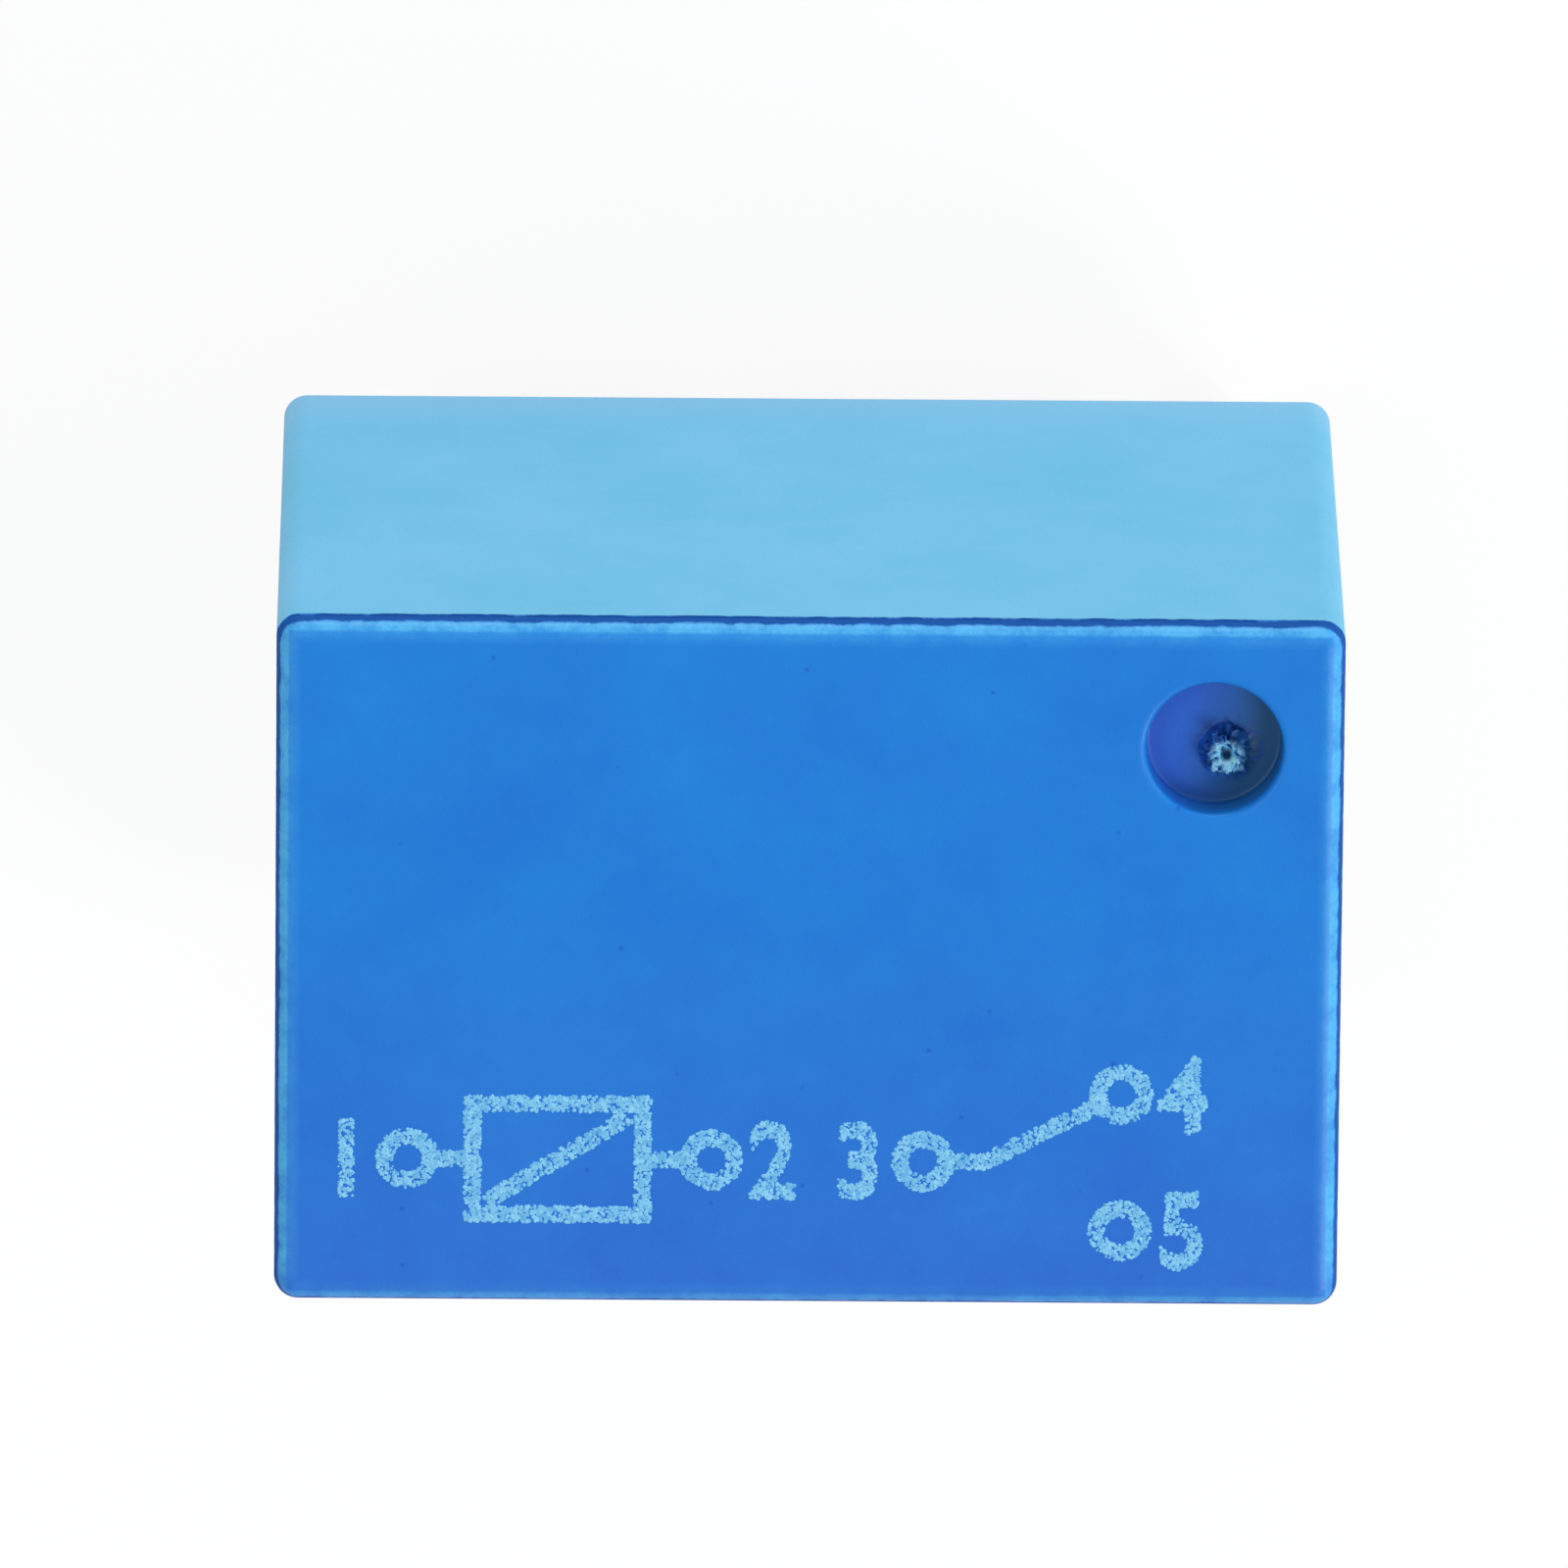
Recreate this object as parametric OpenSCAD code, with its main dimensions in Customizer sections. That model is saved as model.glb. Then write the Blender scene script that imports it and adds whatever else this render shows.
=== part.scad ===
// Sealed power relay for a circuit board, with one change-over contact.
// The rim of the case stands on the board at z = 0, the case lies along X, and the pins point down.
// The armature is drawn at rest, with the coil off and the normally closed contact made.

/* [Case] */
// Length of the case
case_length = 15.6; // [15.2:0.1:18]
// Width of the case
case_width = 10.5; // [10.3:0.1:12]
// Height of the case above the board
case_height = 11.4; // [10.8:0.1:13]
// Thickness of the case walls
case_wall = 0.6; // [0.45:0.05:0.7]
// Thickness of the case top
case_top = 0.65; // [0.5:0.05:0.9]
// Radius of the upright edges
corner_radius = 0.35; // [0.2:0.05:1]
// Radius of the upright edges inside the case
cavity_radius = 0.15; // [0.1:0.05:0.5]
// Radius of the edge around the top face
top_edge_radius = 0.3; // [0.1:0.05:0.4]

/* [Vent] */
// Diameter of the vent dimple in the top face
vent_diameter = 2; // [1.4:0.1:2.2]
// Depth of the vent dimple
vent_depth = 0.6; // [0.3:0.05:0.8]
// Thickness of the plastic around and below the dimple
vent_web = 0.35; // [0.25:0.05:0.5]
// Distance from the case end to the middle of the dimple
vent_from_end = 1.9; // [1.6:0.05:2.5]
// Distance from the case side to the middle of the dimple
vent_from_side = 1.9; // [1.6:0.05:2.5]
// Diameter of the nib left in the dimple
nib_diameter = 0.4; // [0.3:0.05:0.6]
// Diameter of the nib at its root
nib_root_diameter = 0.55; // [0.4:0.05:0.8]
// Height of the nib
nib_height = 0.35; // [0.2:0.05:0.5]

/* [Pins] */
// Distance from the case end to the flat pins
pin_end_margin = 1.45; // [1.3:0.05:2]
// Distance from the common pins to the coil pins
coil_offset = 5.08; // [4.9:0.02:5.4]
// Distance from the case side to a row of pins
pin_side_margin = 1.44; // [1.3:0.01:1.8]
// Length of the pins below the case
pin_length = 3.5; // [2.5:0.1:5]
// Width of a flat pin
pin_width = 0.6; // [0.4:0.05:0.8]
// Length of the point of a pin
pin_point = 0.3; // [0.1:0.05:0.5]
// Diameter of a coil pin
coil_pin_diameter = 0.5; // [0.4:0.05:0.6]
// Width of the square post of a coil pin inside the case
post_width = 0.45; // [0.35:0.05:0.6]
// Height of a coil pin above the lower flange
lead_post_height = 1.4; // [1:0.1:2.5]
// Thickness of the terminal strip
strip_thickness = 0.4; // [0.3:0.05:0.5]
// Width of the terminal strip
strip_width = 1.1; // [0.9:0.05:1.2]
// Inner radius of the bend in a contact terminal
strip_bend = 0.2; // [0.1:0.05:0.3]
// Height of the arm below that bend
arm_height = 1.2; // [0.8:0.1:2]
// Height of the bridge between the two common pins
bridge_height = 2.2; // [1.6:0.1:3]

/* [Base and seal] */
// Depth of the sealing resin inside the rim
rim_recess = 0.1; // [0.05:0.05:0.3]
// Thickness of the sealing resin
resin_thickness = 0.4; // [0.3:0.05:0.7]
// Thickness of the base plate
base_thickness = 1; // [0.8:0.05:1.3]
// Height of the terminal posts above the base plate
post_height = 2.4; // [1.5:0.1:4]
// Thickness of the plastic beside a terminal slot
post_wall = 0.5; // [0.4:0.05:0.8]
// Thickness of the barrier between the coil and the contacts
barrier_thickness = 0.5; // [0.4:0.05:0.7]

/* [Magnet] */
// Thickness of the yoke
yoke_thickness = 1; // [0.8:0.05:1.1]
// Outer radius of the bend in the yoke
yoke_bend = 0.7; // [0.3:0.05:0.8]
// Radius of the hinge edge on top of the yoke
hinge_radius = 0.15; // [0.1:0.05:0.25]
// Height of the two lugs that hold the armature
lug_height = 0.5; // [0.3:0.05:0.8]
// Width of a lug
lug_width = 0.7; // [0.5:0.05:0.9]
// Diameter of the core
core_diameter = 2.6; // [2:0.1:3]
// Diameter of the riveted end of the core
core_end_diameter = 2; // [1.4:0.1:2.2]
// Diameter of the pole head
pole_diameter = 4.2; // [3.6:0.1:5]
// Thickness of the pole head
pole_thickness = 0.5; // [0.3:0.05:0.7]
// Thickness of the bobbin flanges
flange_thickness = 0.5; // [0.35:0.05:0.7]
// Corner radius of the bobbin flanges
flange_corner = 0.4; // [0.2:0.05:0.8]
// Thickness of the bobbin tube
tube_wall = 0.35; // [0.25:0.05:0.5]
// Thickness of the plastic around a coil pin
ear_wall = 0.3; // [0.2:0.05:0.35]
// Diameter of the wire
wire_diameter = 0.2; // [0.15:0.01:0.25]
// Turns of each lead around its post
lead_turns = 3; // [2:1:4]

/* [Armature and contacts] */
// Angle through which the armature swings
swing = 2.5; // [1.5:0.1:3]
// Thickness of the armature
armature_thickness = 0.8; // [0.65:0.05:1]
// Length of the armature past the pole head
armature_reach = 0.5; // [0.2:0.05:1]
// Thickness of the contact spring
spring_thickness = 0.12; // [0.08:0.01:0.16]
// Bend radius of the contact spring
spring_bend = 0.6; // [0.5:0.05:0.65]
// Width of the window in the spring's bend
window_width = 1.4; // [0.8:0.1:1.8]
// Length of that window along the armature
window_length = 1; // [0.6:0.1:1.6]
// Width of the spring's arm at the contact
arm_width = 1.7; // [1.7:0.1:2.2]
// Diameter of the rivet bosses
boss_diameter = 0.8; // [0.6:0.05:1]
// Distance from the edge of the spring to the middle of a boss
boss_margin = 0.9; // [0.7:0.05:1.1]
// Distance from the hinge to the rivets in the armature
boss_offset = 3.2; // [2.8:0.1:4]
// Diameter of the contacts
contact_diameter = 1.3; // [1:0.05:1.5]
// Height of a contact head
contact_height = 0.3; // [0.2:0.05:0.4]
// Radius of the domed face of a fixed contact
contact_dome = 3; // [2:0.5:6]
// Diameter of a contact's shank
contact_shank = 0.6; // [0.4:0.05:0.8]
// Distance from the contact pins to the contacts
contact_inset = 1.5; // [1.4:0.05:1.8]
// Width of the metal around a contact
contact_margin = 0.2; // [0.1:0.05:0.4]

/* [Clearances] */
// Clearance of a piece pushed into a hole or slot
fit = 0.02; // [0.01:0.01:0.05]
// Clearance between the base and the case
base_gap = 0.05; // [0.02:0.01:0.1]
// Clearance between the bobbin and its neighbours
bobbin_gap = 0.06; // [0.03:0.01:0.15]
// Clearance between the coil pins and the magnet
magnet_gap = 0.375; // [0.35:0.005:0.5]
// Clearance of the armature in its lugs
lug_gap = 0.1; // [0.06:0.01:0.2]
// Clearance between the contact spring and the lugs
spring_gap = 0.41; // [0.2:0.01:0.6]
// Gap left between faces that meet as the armature moves
touch_gap = 0.03; // [0.02:0.01:0.06]
// Clearance between the highest rivet and the case top
head_room = 0.15; // [0.05:0.05:0.3]
// Height of a riveted end
rivet_height = 0.12; // [0.08:0.02:0.2]
// Width of the rim of a riveted end
rivet_rim = 0.15; // [0.1:0.05:0.2]

/* [Hidden] */
$fn = 48;

sides = [-1, 1];

// Inside of the case
cavity_length = case_length - 2 * case_wall;
cavity_width = case_width - 2 * case_wall;
ceiling = case_height - case_top;
edge_radius = min(top_edge_radius, corner_radius - fit);
base_length = cavity_length - 2 * base_gap;
base_width = cavity_width - 2 * base_gap;

// Vent dimple
vent_x = case_length / 2 - vent_from_end;
vent_y = case_width / 2 - vent_from_side;
vent_floor = case_height - vent_depth;

// Places of the pins
contact_pin_x = case_length / 2 - pin_end_margin;
common_x = -contact_pin_x;
coil_x = common_x + coil_offset;
row_y = case_width / 2 - pin_side_margin;
post_diagonal = sqrt(2) * post_width;

// Heights counted up from the board
base_z = rim_recess + resin_thickness;
deck_z = base_z + base_thickness;
foot_z = deck_z + yoke_thickness;
winding_z = foot_z + flange_thickness;
lead_post_z = winding_z + lead_post_height;

// Back of the magnet, where terminal, spring and yoke lie on each other
yoke_back = common_x + strip_thickness / 2 + spring_thickness;
yoke_front = yoke_back + yoke_thickness;
hinge_x = yoke_back + hinge_radius;
magnet_width = 2 * row_y - post_width - 2 * magnet_gap;
spring_width = magnet_width - 2 * (lug_width + spring_gap);
boss_spacing = spring_width - 2 * boss_margin;

// Heights counted down from the ceiling, through the contacts to the hinge and the pole
contact_x = contact_pin_x - contact_inset;
tab_half = contact_diameter / 2 + contact_margin;
nc_tab_z = ceiling - head_room - rivet_height - strip_thickness;
nc_face_z = nc_tab_z - contact_height;
contact_arm = contact_x - hinge_x;
contact_rise = hinge_radius + touch_gap + armature_thickness + spring_thickness + contact_height;
hinge_z = nc_face_z - touch_gap - contact_arm * sin(swing) - contact_rise * cos(swing);
pole_z = hinge_z + hinge_radius;
armature_z = pole_z + touch_gap;
leaf_z = armature_z + armature_thickness;
no_face_z = leaf_z - contact_height - touch_gap;
no_tab_z = no_face_z - contact_height - strip_thickness;
head_z = pole_z - pole_thickness;
winding_top = head_z - flange_thickness;

// Bobbin and winding
flange_half = coil_x - yoke_front - bobbin_gap;
flange_end = coil_x + flange_half;
ear_edge = row_y + post_width / 2 + ear_wall;
tube_diameter = core_diameter + 2 * fit + 2 * tube_wall;
winding_radius = min(magnet_width / 2, flange_half);
winding_height = winding_top - winding_z;
winding_turns = floor(winding_height / wire_diameter);
turn_pitch = winding_height / winding_turns;
wrap_radius = post_diagonal / 2 + fit + wire_diameter / 2;
// Share of a wire by which neighbouring turns sink into each other
lap = 0.15;
lead_diameter = (1 - lap) * wire_diameter;

// Rivets, bridge and spring
rivet_z = (foot_z + hinge_z) / 2;
bridge_z = rivet_z - bridge_height / 2;
boss_x = hinge_x + boss_offset;
armature_back = yoke_back + lug_gap;
armature_front = coil_x + pole_diameter / 2 + armature_reach;
leg_x = yoke_back - spring_thickness / 2;
bend_x = leg_x + spring_bend;
heel_z = leaf_z + spring_thickness / 2 - spring_bend;
bend_z = hinge_z + (heel_z - hinge_z + (bend_x - hinge_x) * sin(swing)) / cos(swing);
leaf_start = hinge_x + (bend_x - hinge_x) * cos(swing) + (bend_z - hinge_z) * sin(swing);

case_blue = [0.16, 0.48, 0.85];
base_blue = [0.10, 0.20, 0.38];
resin_black = [0.08, 0.09, 0.11];
iron_grey = [0.62, 0.63, 0.65];
bobbin_white = [0.88, 0.86, 0.80];
wire_copper = [0.72, 0.35, 0.16];
tinned = [0.78, 0.78, 0.76];
leaf_copper = [0.80, 0.55, 0.32];
contact_silver = [0.90, 0.89, 0.86];

// Shared shapes

module rounded_rect(length, width, radius) {
    square([length - 2 * radius, width], center = true);
    square([length, width - 2 * radius], center = true);
    for (x = sides, y = sides)
        translate([x * (length / 2 - radius), y * (width / 2 - radius)]) circle(radius);
}

// Section of a block whose two upper edges are round
module round_top_section(width, height, edge) {
    translate([-width / 2, 0]) square([width, height - edge]);
    translate([edge - width / 2, 0]) square([width - 2 * edge, height]);
    for (side = sides) translate([side * (width / 2 - edge), height - edge]) circle(edge);
}

// Block with round upright corners and a round edge along its top
module filleted_block(length, width, height, corner, edge) {
    x = length / 2 - corner;
    y = width / 2 - corner;
    translate([-x, 0, 0]) rotate([90, 0, 90])
        linear_extrude(2 * x) round_top_section(width, height, edge);
    translate([0, y, 0]) rotate([90, 0, 0])
        linear_extrude(2 * y) round_top_section(length, height, edge);
    for (i = sides, j = sides) translate([i * x, j * y, 0]) rotate_extrude() intersection() {
        round_top_section(2 * corner, height, edge);
        square([corner, height]);
    }
}

// Quarter of a ring, for a bend in strip
module bend_section(inner, thickness) {
    intersection() {
        difference() {
            circle(inner + thickness);
            circle(inner);
        }
        square(inner + thickness);
    }
}

// Boss that grows from inside its plate, passes through a sheet and is riveted over behind it
module riveted_boss(diameter, root, grip) {
    translate([0, 0, -root]) cylinder(d = diameter, h = root + grip + rivet_height);
    translate([0, 0, grip]) cylinder(d = diameter + 2 * rivet_rim, h = rivet_height);
}

// Swings the armature and what it carries from closed to its rest, about the hinge edge
module swung() {
    translate([hinge_x, 0, hinge_z]) rotate([0, -swing, 0]) translate([-hinge_x, 0, -hinge_z]) children();
}

// Case, seal and base

module cover() {
    color(case_blue) difference() {
        union() {
            difference() {
                filleted_block(case_length, case_width, case_height, corner_radius, edge_radius);
                translate([0, 0, -case_wall]) linear_extrude(ceiling + case_wall)
                    rounded_rect(cavity_length, cavity_width, cavity_radius);
            }
            translate([vent_x, vent_y, vent_floor - vent_web])
                cylinder(d = vent_diameter + 2 * vent_web,
                    h = ceiling - vent_floor + vent_web + case_top / 2);
        }
        difference() {
            translate([vent_x, vent_y, vent_floor]) cylinder(d = vent_diameter, h = vent_depth + case_top);
            translate([vent_x, vent_y, vent_floor]) cylinder(d1 = nib_root_diameter, d2 = nib_diameter,
                h = nib_height);
        }
    }
}

// Cross sections of all the pins, grown by a clearance
module pin_sections(clearance) {
    for (side = sides) {
        for (x = [common_x, contact_pin_x]) translate([x, side * row_y])
            square([strip_thickness + 2 * clearance, pin_width + 2 * clearance], center = true);
        translate([coil_x, side * row_y]) square(post_width + 2 * clearance, center = true);
    }
}

module seal_resin() {
    color(resin_black) translate([0, 0, rim_recess]) linear_extrude(resin_thickness) difference() {
        rounded_rect(cavity_length, cavity_width, cavity_radius);
        pin_sections(0);
    }
}

// Post that grips one contact terminal at the end of the base
module terminal_post() {
    inner_x = contact_pin_x - strip_thickness / 2 - post_wall;
    inner_y = row_y - strip_width / 2 - post_wall;
    difference() {
        translate([inner_x, inner_y, deck_z])
            cube([base_length / 2 - inner_x, base_width / 2 - inner_y, post_height]);
        translate([contact_pin_x - strip_thickness / 2 - fit, row_y - strip_width / 2 - fit, deck_z])
            cube([strip_thickness + 2 * fit, strip_width + 2 * fit, post_height]);
    }
}

module base() {
    color(base_blue) {
        translate([0, 0, base_z]) linear_extrude(base_thickness) difference() {
            rounded_rect(base_length, base_width, cavity_radius);
            pin_sections(fit);
        }
        translate([flange_end + bobbin_gap, -base_width / 2, deck_z])
            cube([barrier_thickness, base_width, no_tab_z - deck_z]);
        terminal_post();
        mirror([0, 1, 0]) terminal_post();
    }
}

// Magnet

module yoke_section() {
    translate([yoke_back + yoke_bend, deck_z])
        square([flange_end - yoke_back - yoke_bend, yoke_thickness]);
    translate([yoke_back, deck_z + yoke_bend]) square([yoke_thickness, hinge_z - deck_z - yoke_bend]);
    intersection() {
        translate([yoke_back + yoke_bend, deck_z + yoke_bend]) circle(yoke_bend);
        translate([yoke_back, deck_z]) square(yoke_bend);
    }
    translate([hinge_x, deck_z + yoke_bend]) square([yoke_front - hinge_x, pole_z - deck_z - yoke_bend]);
    translate([hinge_x, hinge_z]) circle(hinge_radius);
}

module yoke() {
    color(iron_grey) {
        difference() {
            translate([0, magnet_width / 2, 0]) rotate([90, 0, 0])
                linear_extrude(magnet_width) yoke_section();
            translate([coil_x, 0, deck_z - yoke_thickness])
                cylinder(d = core_end_diameter + 2 * fit, h = 3 * yoke_thickness);
        }
        for (side = sides) {
            translate([hinge_x, side * (magnet_width - lug_width) / 2 - lug_width / 2, hinge_z])
                cube([yoke_front - hinge_x, lug_width, hinge_radius + lug_height]);
            translate([yoke_back, side * boss_spacing / 2, rivet_z]) rotate([0, -90, 0])
                riveted_boss(boss_diameter, yoke_thickness / 2, spring_thickness + strip_thickness);
        }
    }
}

module core() {
    color(iron_grey) translate([coil_x, 0, 0]) {
        translate([0, 0, head_z]) cylinder(d = pole_diameter, h = pole_thickness);
        translate([0, 0, foot_z]) cylinder(d = core_diameter, h = head_z - foot_z);
        translate([0, 0, deck_z]) cylinder(d = core_end_diameter, h = yoke_thickness);
    }
}

module bobbin() {
    ear_inner = magnet_width / 2 + bobbin_gap;
    ear_length = post_width + 4 * ear_wall;
    color(bobbin_white) translate([coil_x, 0, 0]) difference() {
        union() {
            translate([0, 0, foot_z]) cylinder(d = tube_diameter, h = head_z - foot_z);
            translate([0, 0, foot_z]) linear_extrude(flange_thickness)
                rounded_rect(2 * flange_half, 2 * ear_edge, flange_corner);
            translate([0, 0, winding_top]) linear_extrude(flange_thickness)
                rounded_rect(2 * flange_half, magnet_width, flange_corner);
            for (turn = [0, 180]) rotate(turn) translate([-ear_length / 2, ear_inner, deck_z])
                cube([ear_length, ear_edge - ear_inner, yoke_thickness]);
        }
        translate([0, 0, deck_z]) cylinder(d = core_diameter + 2 * fit, h = pole_z - deck_z);
        for (side = sides) translate([0, side * row_y, base_z])
            linear_extrude(winding_z - base_z + flange_thickness)
                square(post_width + 2 * fit, center = true);
    }
}

// Lead from the winding to its post, with a few turns around the post
module coil_lead() {
    for (turn = [0 : lead_turns - 1])
        translate([0, row_y, winding_z + wire_diameter + lead_diameter * turn])
            rotate_extrude() translate([wrap_radius, 0]) circle(d = wire_diameter);
    translate([wrap_radius, winding_radius - 2 * wire_diameter, winding_z + wire_diameter])
        rotate([-90, 0, 0])
            cylinder(d = lead_diameter, h = row_y - winding_radius + 2 * wire_diameter);
}

module coil_winding() {
    bump = (1 + lap) * turn_pitch / 2;
    color(wire_copper) translate([coil_x, 0, 0]) {
        rotate_extrude() translate([0, winding_z]) intersection() {
            translate([tube_diameter / 2, 0]) square([winding_radius - tube_diameter / 2, winding_height]);
            union() {
                square([winding_radius - bump, winding_height]);
                for (turn = [0 : winding_turns - 1])
                    translate([winding_radius - bump, turn_pitch * (turn + 0.5)]) circle(bump);
            }
        }
        for (turn = [0, 180]) rotate(turn) coil_lead();
    }
}

module coil_pin(side) {
    color(tinned) translate([coil_x, side * row_y, 0]) {
        translate([0, 0, -pin_length])
            cylinder(d1 = coil_pin_diameter / 2, d2 = coil_pin_diameter, h = pin_point);
        translate([0, 0, pin_point - pin_length])
            cylinder(d = coil_pin_diameter, h = pin_length - pin_point + rim_recess);
        translate([0, 0, rim_recess]) linear_extrude(lead_post_z - rim_recess)
            square(post_width, center = true);
    }
}

// Solder that caps the post of a coil pin
module solder(side) {
    color(tinned) translate([coil_x, side * row_y, lead_post_z]) intersection() {
        sphere(d = post_diagonal);
        cylinder(d = post_diagonal, h = post_diagonal);
    }
}

// Armature and contact spring

// Section whose heel is cut away below the bend of the spring
module armature_section() {
    polygon([[armature_back, armature_z], [armature_front, armature_z], [armature_front, leaf_z],
        [bend_x, leaf_z], [armature_back, max(heel_z, armature_z + armature_thickness / 4)]]);
}

module armature() {
    notch_width = lug_width + lug_gap;
    color(iron_grey) swung() {
        difference() {
            translate([0, magnet_width / 2, 0]) rotate([90, 0, 0])
                linear_extrude(magnet_width) armature_section();
            for (side = sides) translate([yoke_back, side * (magnet_width - notch_width) / 2, armature_z])
                translate([0, -notch_width / 2, 0])
                    cube([yoke_thickness + lug_gap, notch_width, armature_thickness]);
        }
        for (side = sides) translate([boss_x, side * boss_spacing / 2, leaf_z])
            riveted_boss(boss_diameter, armature_thickness / 2, spring_thickness);
    }
}

// Leaf along the armature, seen from above
module leaf_outline() {
    difference() {
        union() {
            polygon([[leaf_start, -spring_width / 2], [boss_x + boss_diameter, -spring_width / 2],
                [armature_front, -arm_width / 2], [contact_x, -arm_width / 2],
                [contact_x, arm_width / 2], [armature_front, arm_width / 2],
                [boss_x + boss_diameter, spring_width / 2], [leaf_start, spring_width / 2]]);
            translate([contact_x, 0]) circle(d = arm_width);
        }
        translate([leaf_start, -window_width / 2]) square([window_length, window_width]);
        for (side = sides) translate([boss_x, side * boss_spacing / 2])
            circle(d = boss_diameter + 2 * fit);
        translate([contact_x, 0]) circle(d = contact_shank + 2 * fit);
    }
}

// Leg along the back of the yoke, seen from behind
module leg_outline() {
    difference() {
        translate([-spring_width / 2, bridge_z]) square([spring_width, bend_z - bridge_z]);
        translate([-window_width / 2, pole_z]) square([window_width, bend_z - pole_z]);
        for (side = sides) translate([side * boss_spacing / 2, rivet_z])
            circle(d = boss_diameter + 2 * fit);
    }
}

// Bent strand beside the window, whose thinned end runs on inside the leg
module spring_strand(y) {
    strand = (spring_width - window_width) / 2;
    translate([leaf_start, 0, heel_z]) rotate([90, 0, 0]) {
        rotate(90) rotate_extrude(angle = 90 - swing)
            translate([spring_bend - spring_thickness / 2, y]) square([spring_thickness, strand]);
        rotate(180 - swing)
            translate([spring_bend - spring_thickness / 4, -spring_thickness, y + strand / 4])
                cube([spring_thickness / 2, 2 * spring_thickness, strand / 2]);
    }
}

module contact_spring() {
    color(leaf_copper) {
        swung() {
            translate([0, 0, leaf_z]) linear_extrude(spring_thickness) leaf_outline();
            spring_strand(-spring_width / 2);
            spring_strand(window_width / 2);
        }
        translate([yoke_back - spring_thickness, 0, 0]) rotate([90, 0, 90])
            linear_extrude(spring_thickness) leg_outline();
    }
}

module moving_contact() {
    color(contact_silver) swung() translate([contact_x, 0, leaf_z]) {
        translate([0, 0, -contact_height]) cylinder(d = contact_diameter, h = contact_height);
        cylinder(d = contact_shank, h = spring_thickness);
        translate([0, 0, spring_thickness]) cylinder(d = contact_diameter, h = contact_height);
    }
}

// Terminals and fixed contacts

// Tail of a stamped pin, from the top of the base down to its point
module pin_outline() {
    polygon([[-pin_width / 2, deck_z], [-pin_width / 2, pin_point - pin_length],
        [-pin_width / 4, -pin_length], [pin_width / 4, -pin_length],
        [pin_width / 2, pin_point - pin_length], [pin_width / 2, deck_z]]);
}

module common_terminal() {
    color(tinned) translate([common_x - strip_thickness / 2, 0, 0]) rotate([90, 0, 90])
        linear_extrude(strip_thickness) difference() {
            union() {
                for (side = sides) translate([side * row_y, 0]) {
                    pin_outline();
                    translate([-strip_width / 2, deck_z]) square([strip_width, bridge_z - deck_z]);
                }
                translate([-row_y - strip_width / 2, bridge_z])
                    square([2 * row_y + strip_width, bridge_height]);
            }
            for (side = sides) translate([side * boss_spacing / 2, rivet_z])
                circle(d = boss_diameter + 2 * fit);
        }
}

// Terminal on the +Y side whose tab, bent over at tab_z, carries a contact
module contact_terminal(tab_z) {
    bend_centre = contact_pin_x - strip_thickness / 2 - strip_bend;
    arm_top = tab_z - strip_bend;
    tab_end = contact_x - tab_half;
    color(tinned) {
        translate([contact_pin_x - strip_thickness / 2, 0, 0]) rotate([90, 0, 90])
            linear_extrude(strip_thickness) {
                translate([row_y, 0]) pin_outline();
                translate([row_y - strip_width / 2, deck_z]) square([strip_width, arm_top - deck_z]);
                translate([-tab_half, arm_top - arm_height])
                    square([row_y + strip_width / 2 + tab_half, arm_height]);
            }
        translate([bend_centre, tab_half, arm_top]) rotate([90, 0, 0]) linear_extrude(2 * tab_half)
            bend_section(strip_bend, strip_thickness);
        difference() {
            translate([tab_end, -tab_half, tab_z])
                cube([bend_centre - tab_end, 2 * tab_half, strip_thickness]);
            translate([contact_x, 0, tab_z - strip_thickness])
                cylinder(d = contact_shank + 2 * fit, h = 3 * strip_thickness);
        }
    }
}

module no_terminal() {
    contact_terminal(no_tab_z);
}

module nc_terminal() {
    mirror([0, 1, 0]) contact_terminal(nc_tab_z);
}

// Contact rivet with its domed face up, standing on the terminal's tab
module fixed_contact() {
    color(contact_silver) {
        intersection() {
            cylinder(d = contact_diameter, h = contact_height);
            translate([0, 0, contact_height - contact_dome]) sphere(contact_dome);
        }
        rotate([180, 0, 0]) riveted_boss(contact_shank, contact_height / 2, strip_thickness);
    }
}

module no_contact() {
    translate([contact_x, 0, no_tab_z + strip_thickness]) fixed_contact();
}

module nc_contact() {
    translate([contact_x, 0, nc_tab_z]) rotate([180, 0, 0]) fixed_contact();
}

cover();
seal_resin();
base();
yoke();
core();
bobbin();
coil_winding();
coil_pin(-1);  // coil_pin_a
coil_pin(1);  // coil_pin_b
solder(-1);  // solder_a
solder(1);  // solder_b
armature();
contact_spring();
moving_contact();
common_terminal();
nc_terminal();
no_terminal();
nc_contact();
no_contact();
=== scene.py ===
# %% [markdown]
# A sealed power relay for a circuit board.
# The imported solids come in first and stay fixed, in metres, with the rim of the case on the board at z = 0.
# Everything below either gives one of those solids a finish, or stands in for one with finer edges.

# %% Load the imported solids
import math

import bmesh
import bpy
from mathutils import Matrix, Vector, noise


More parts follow.
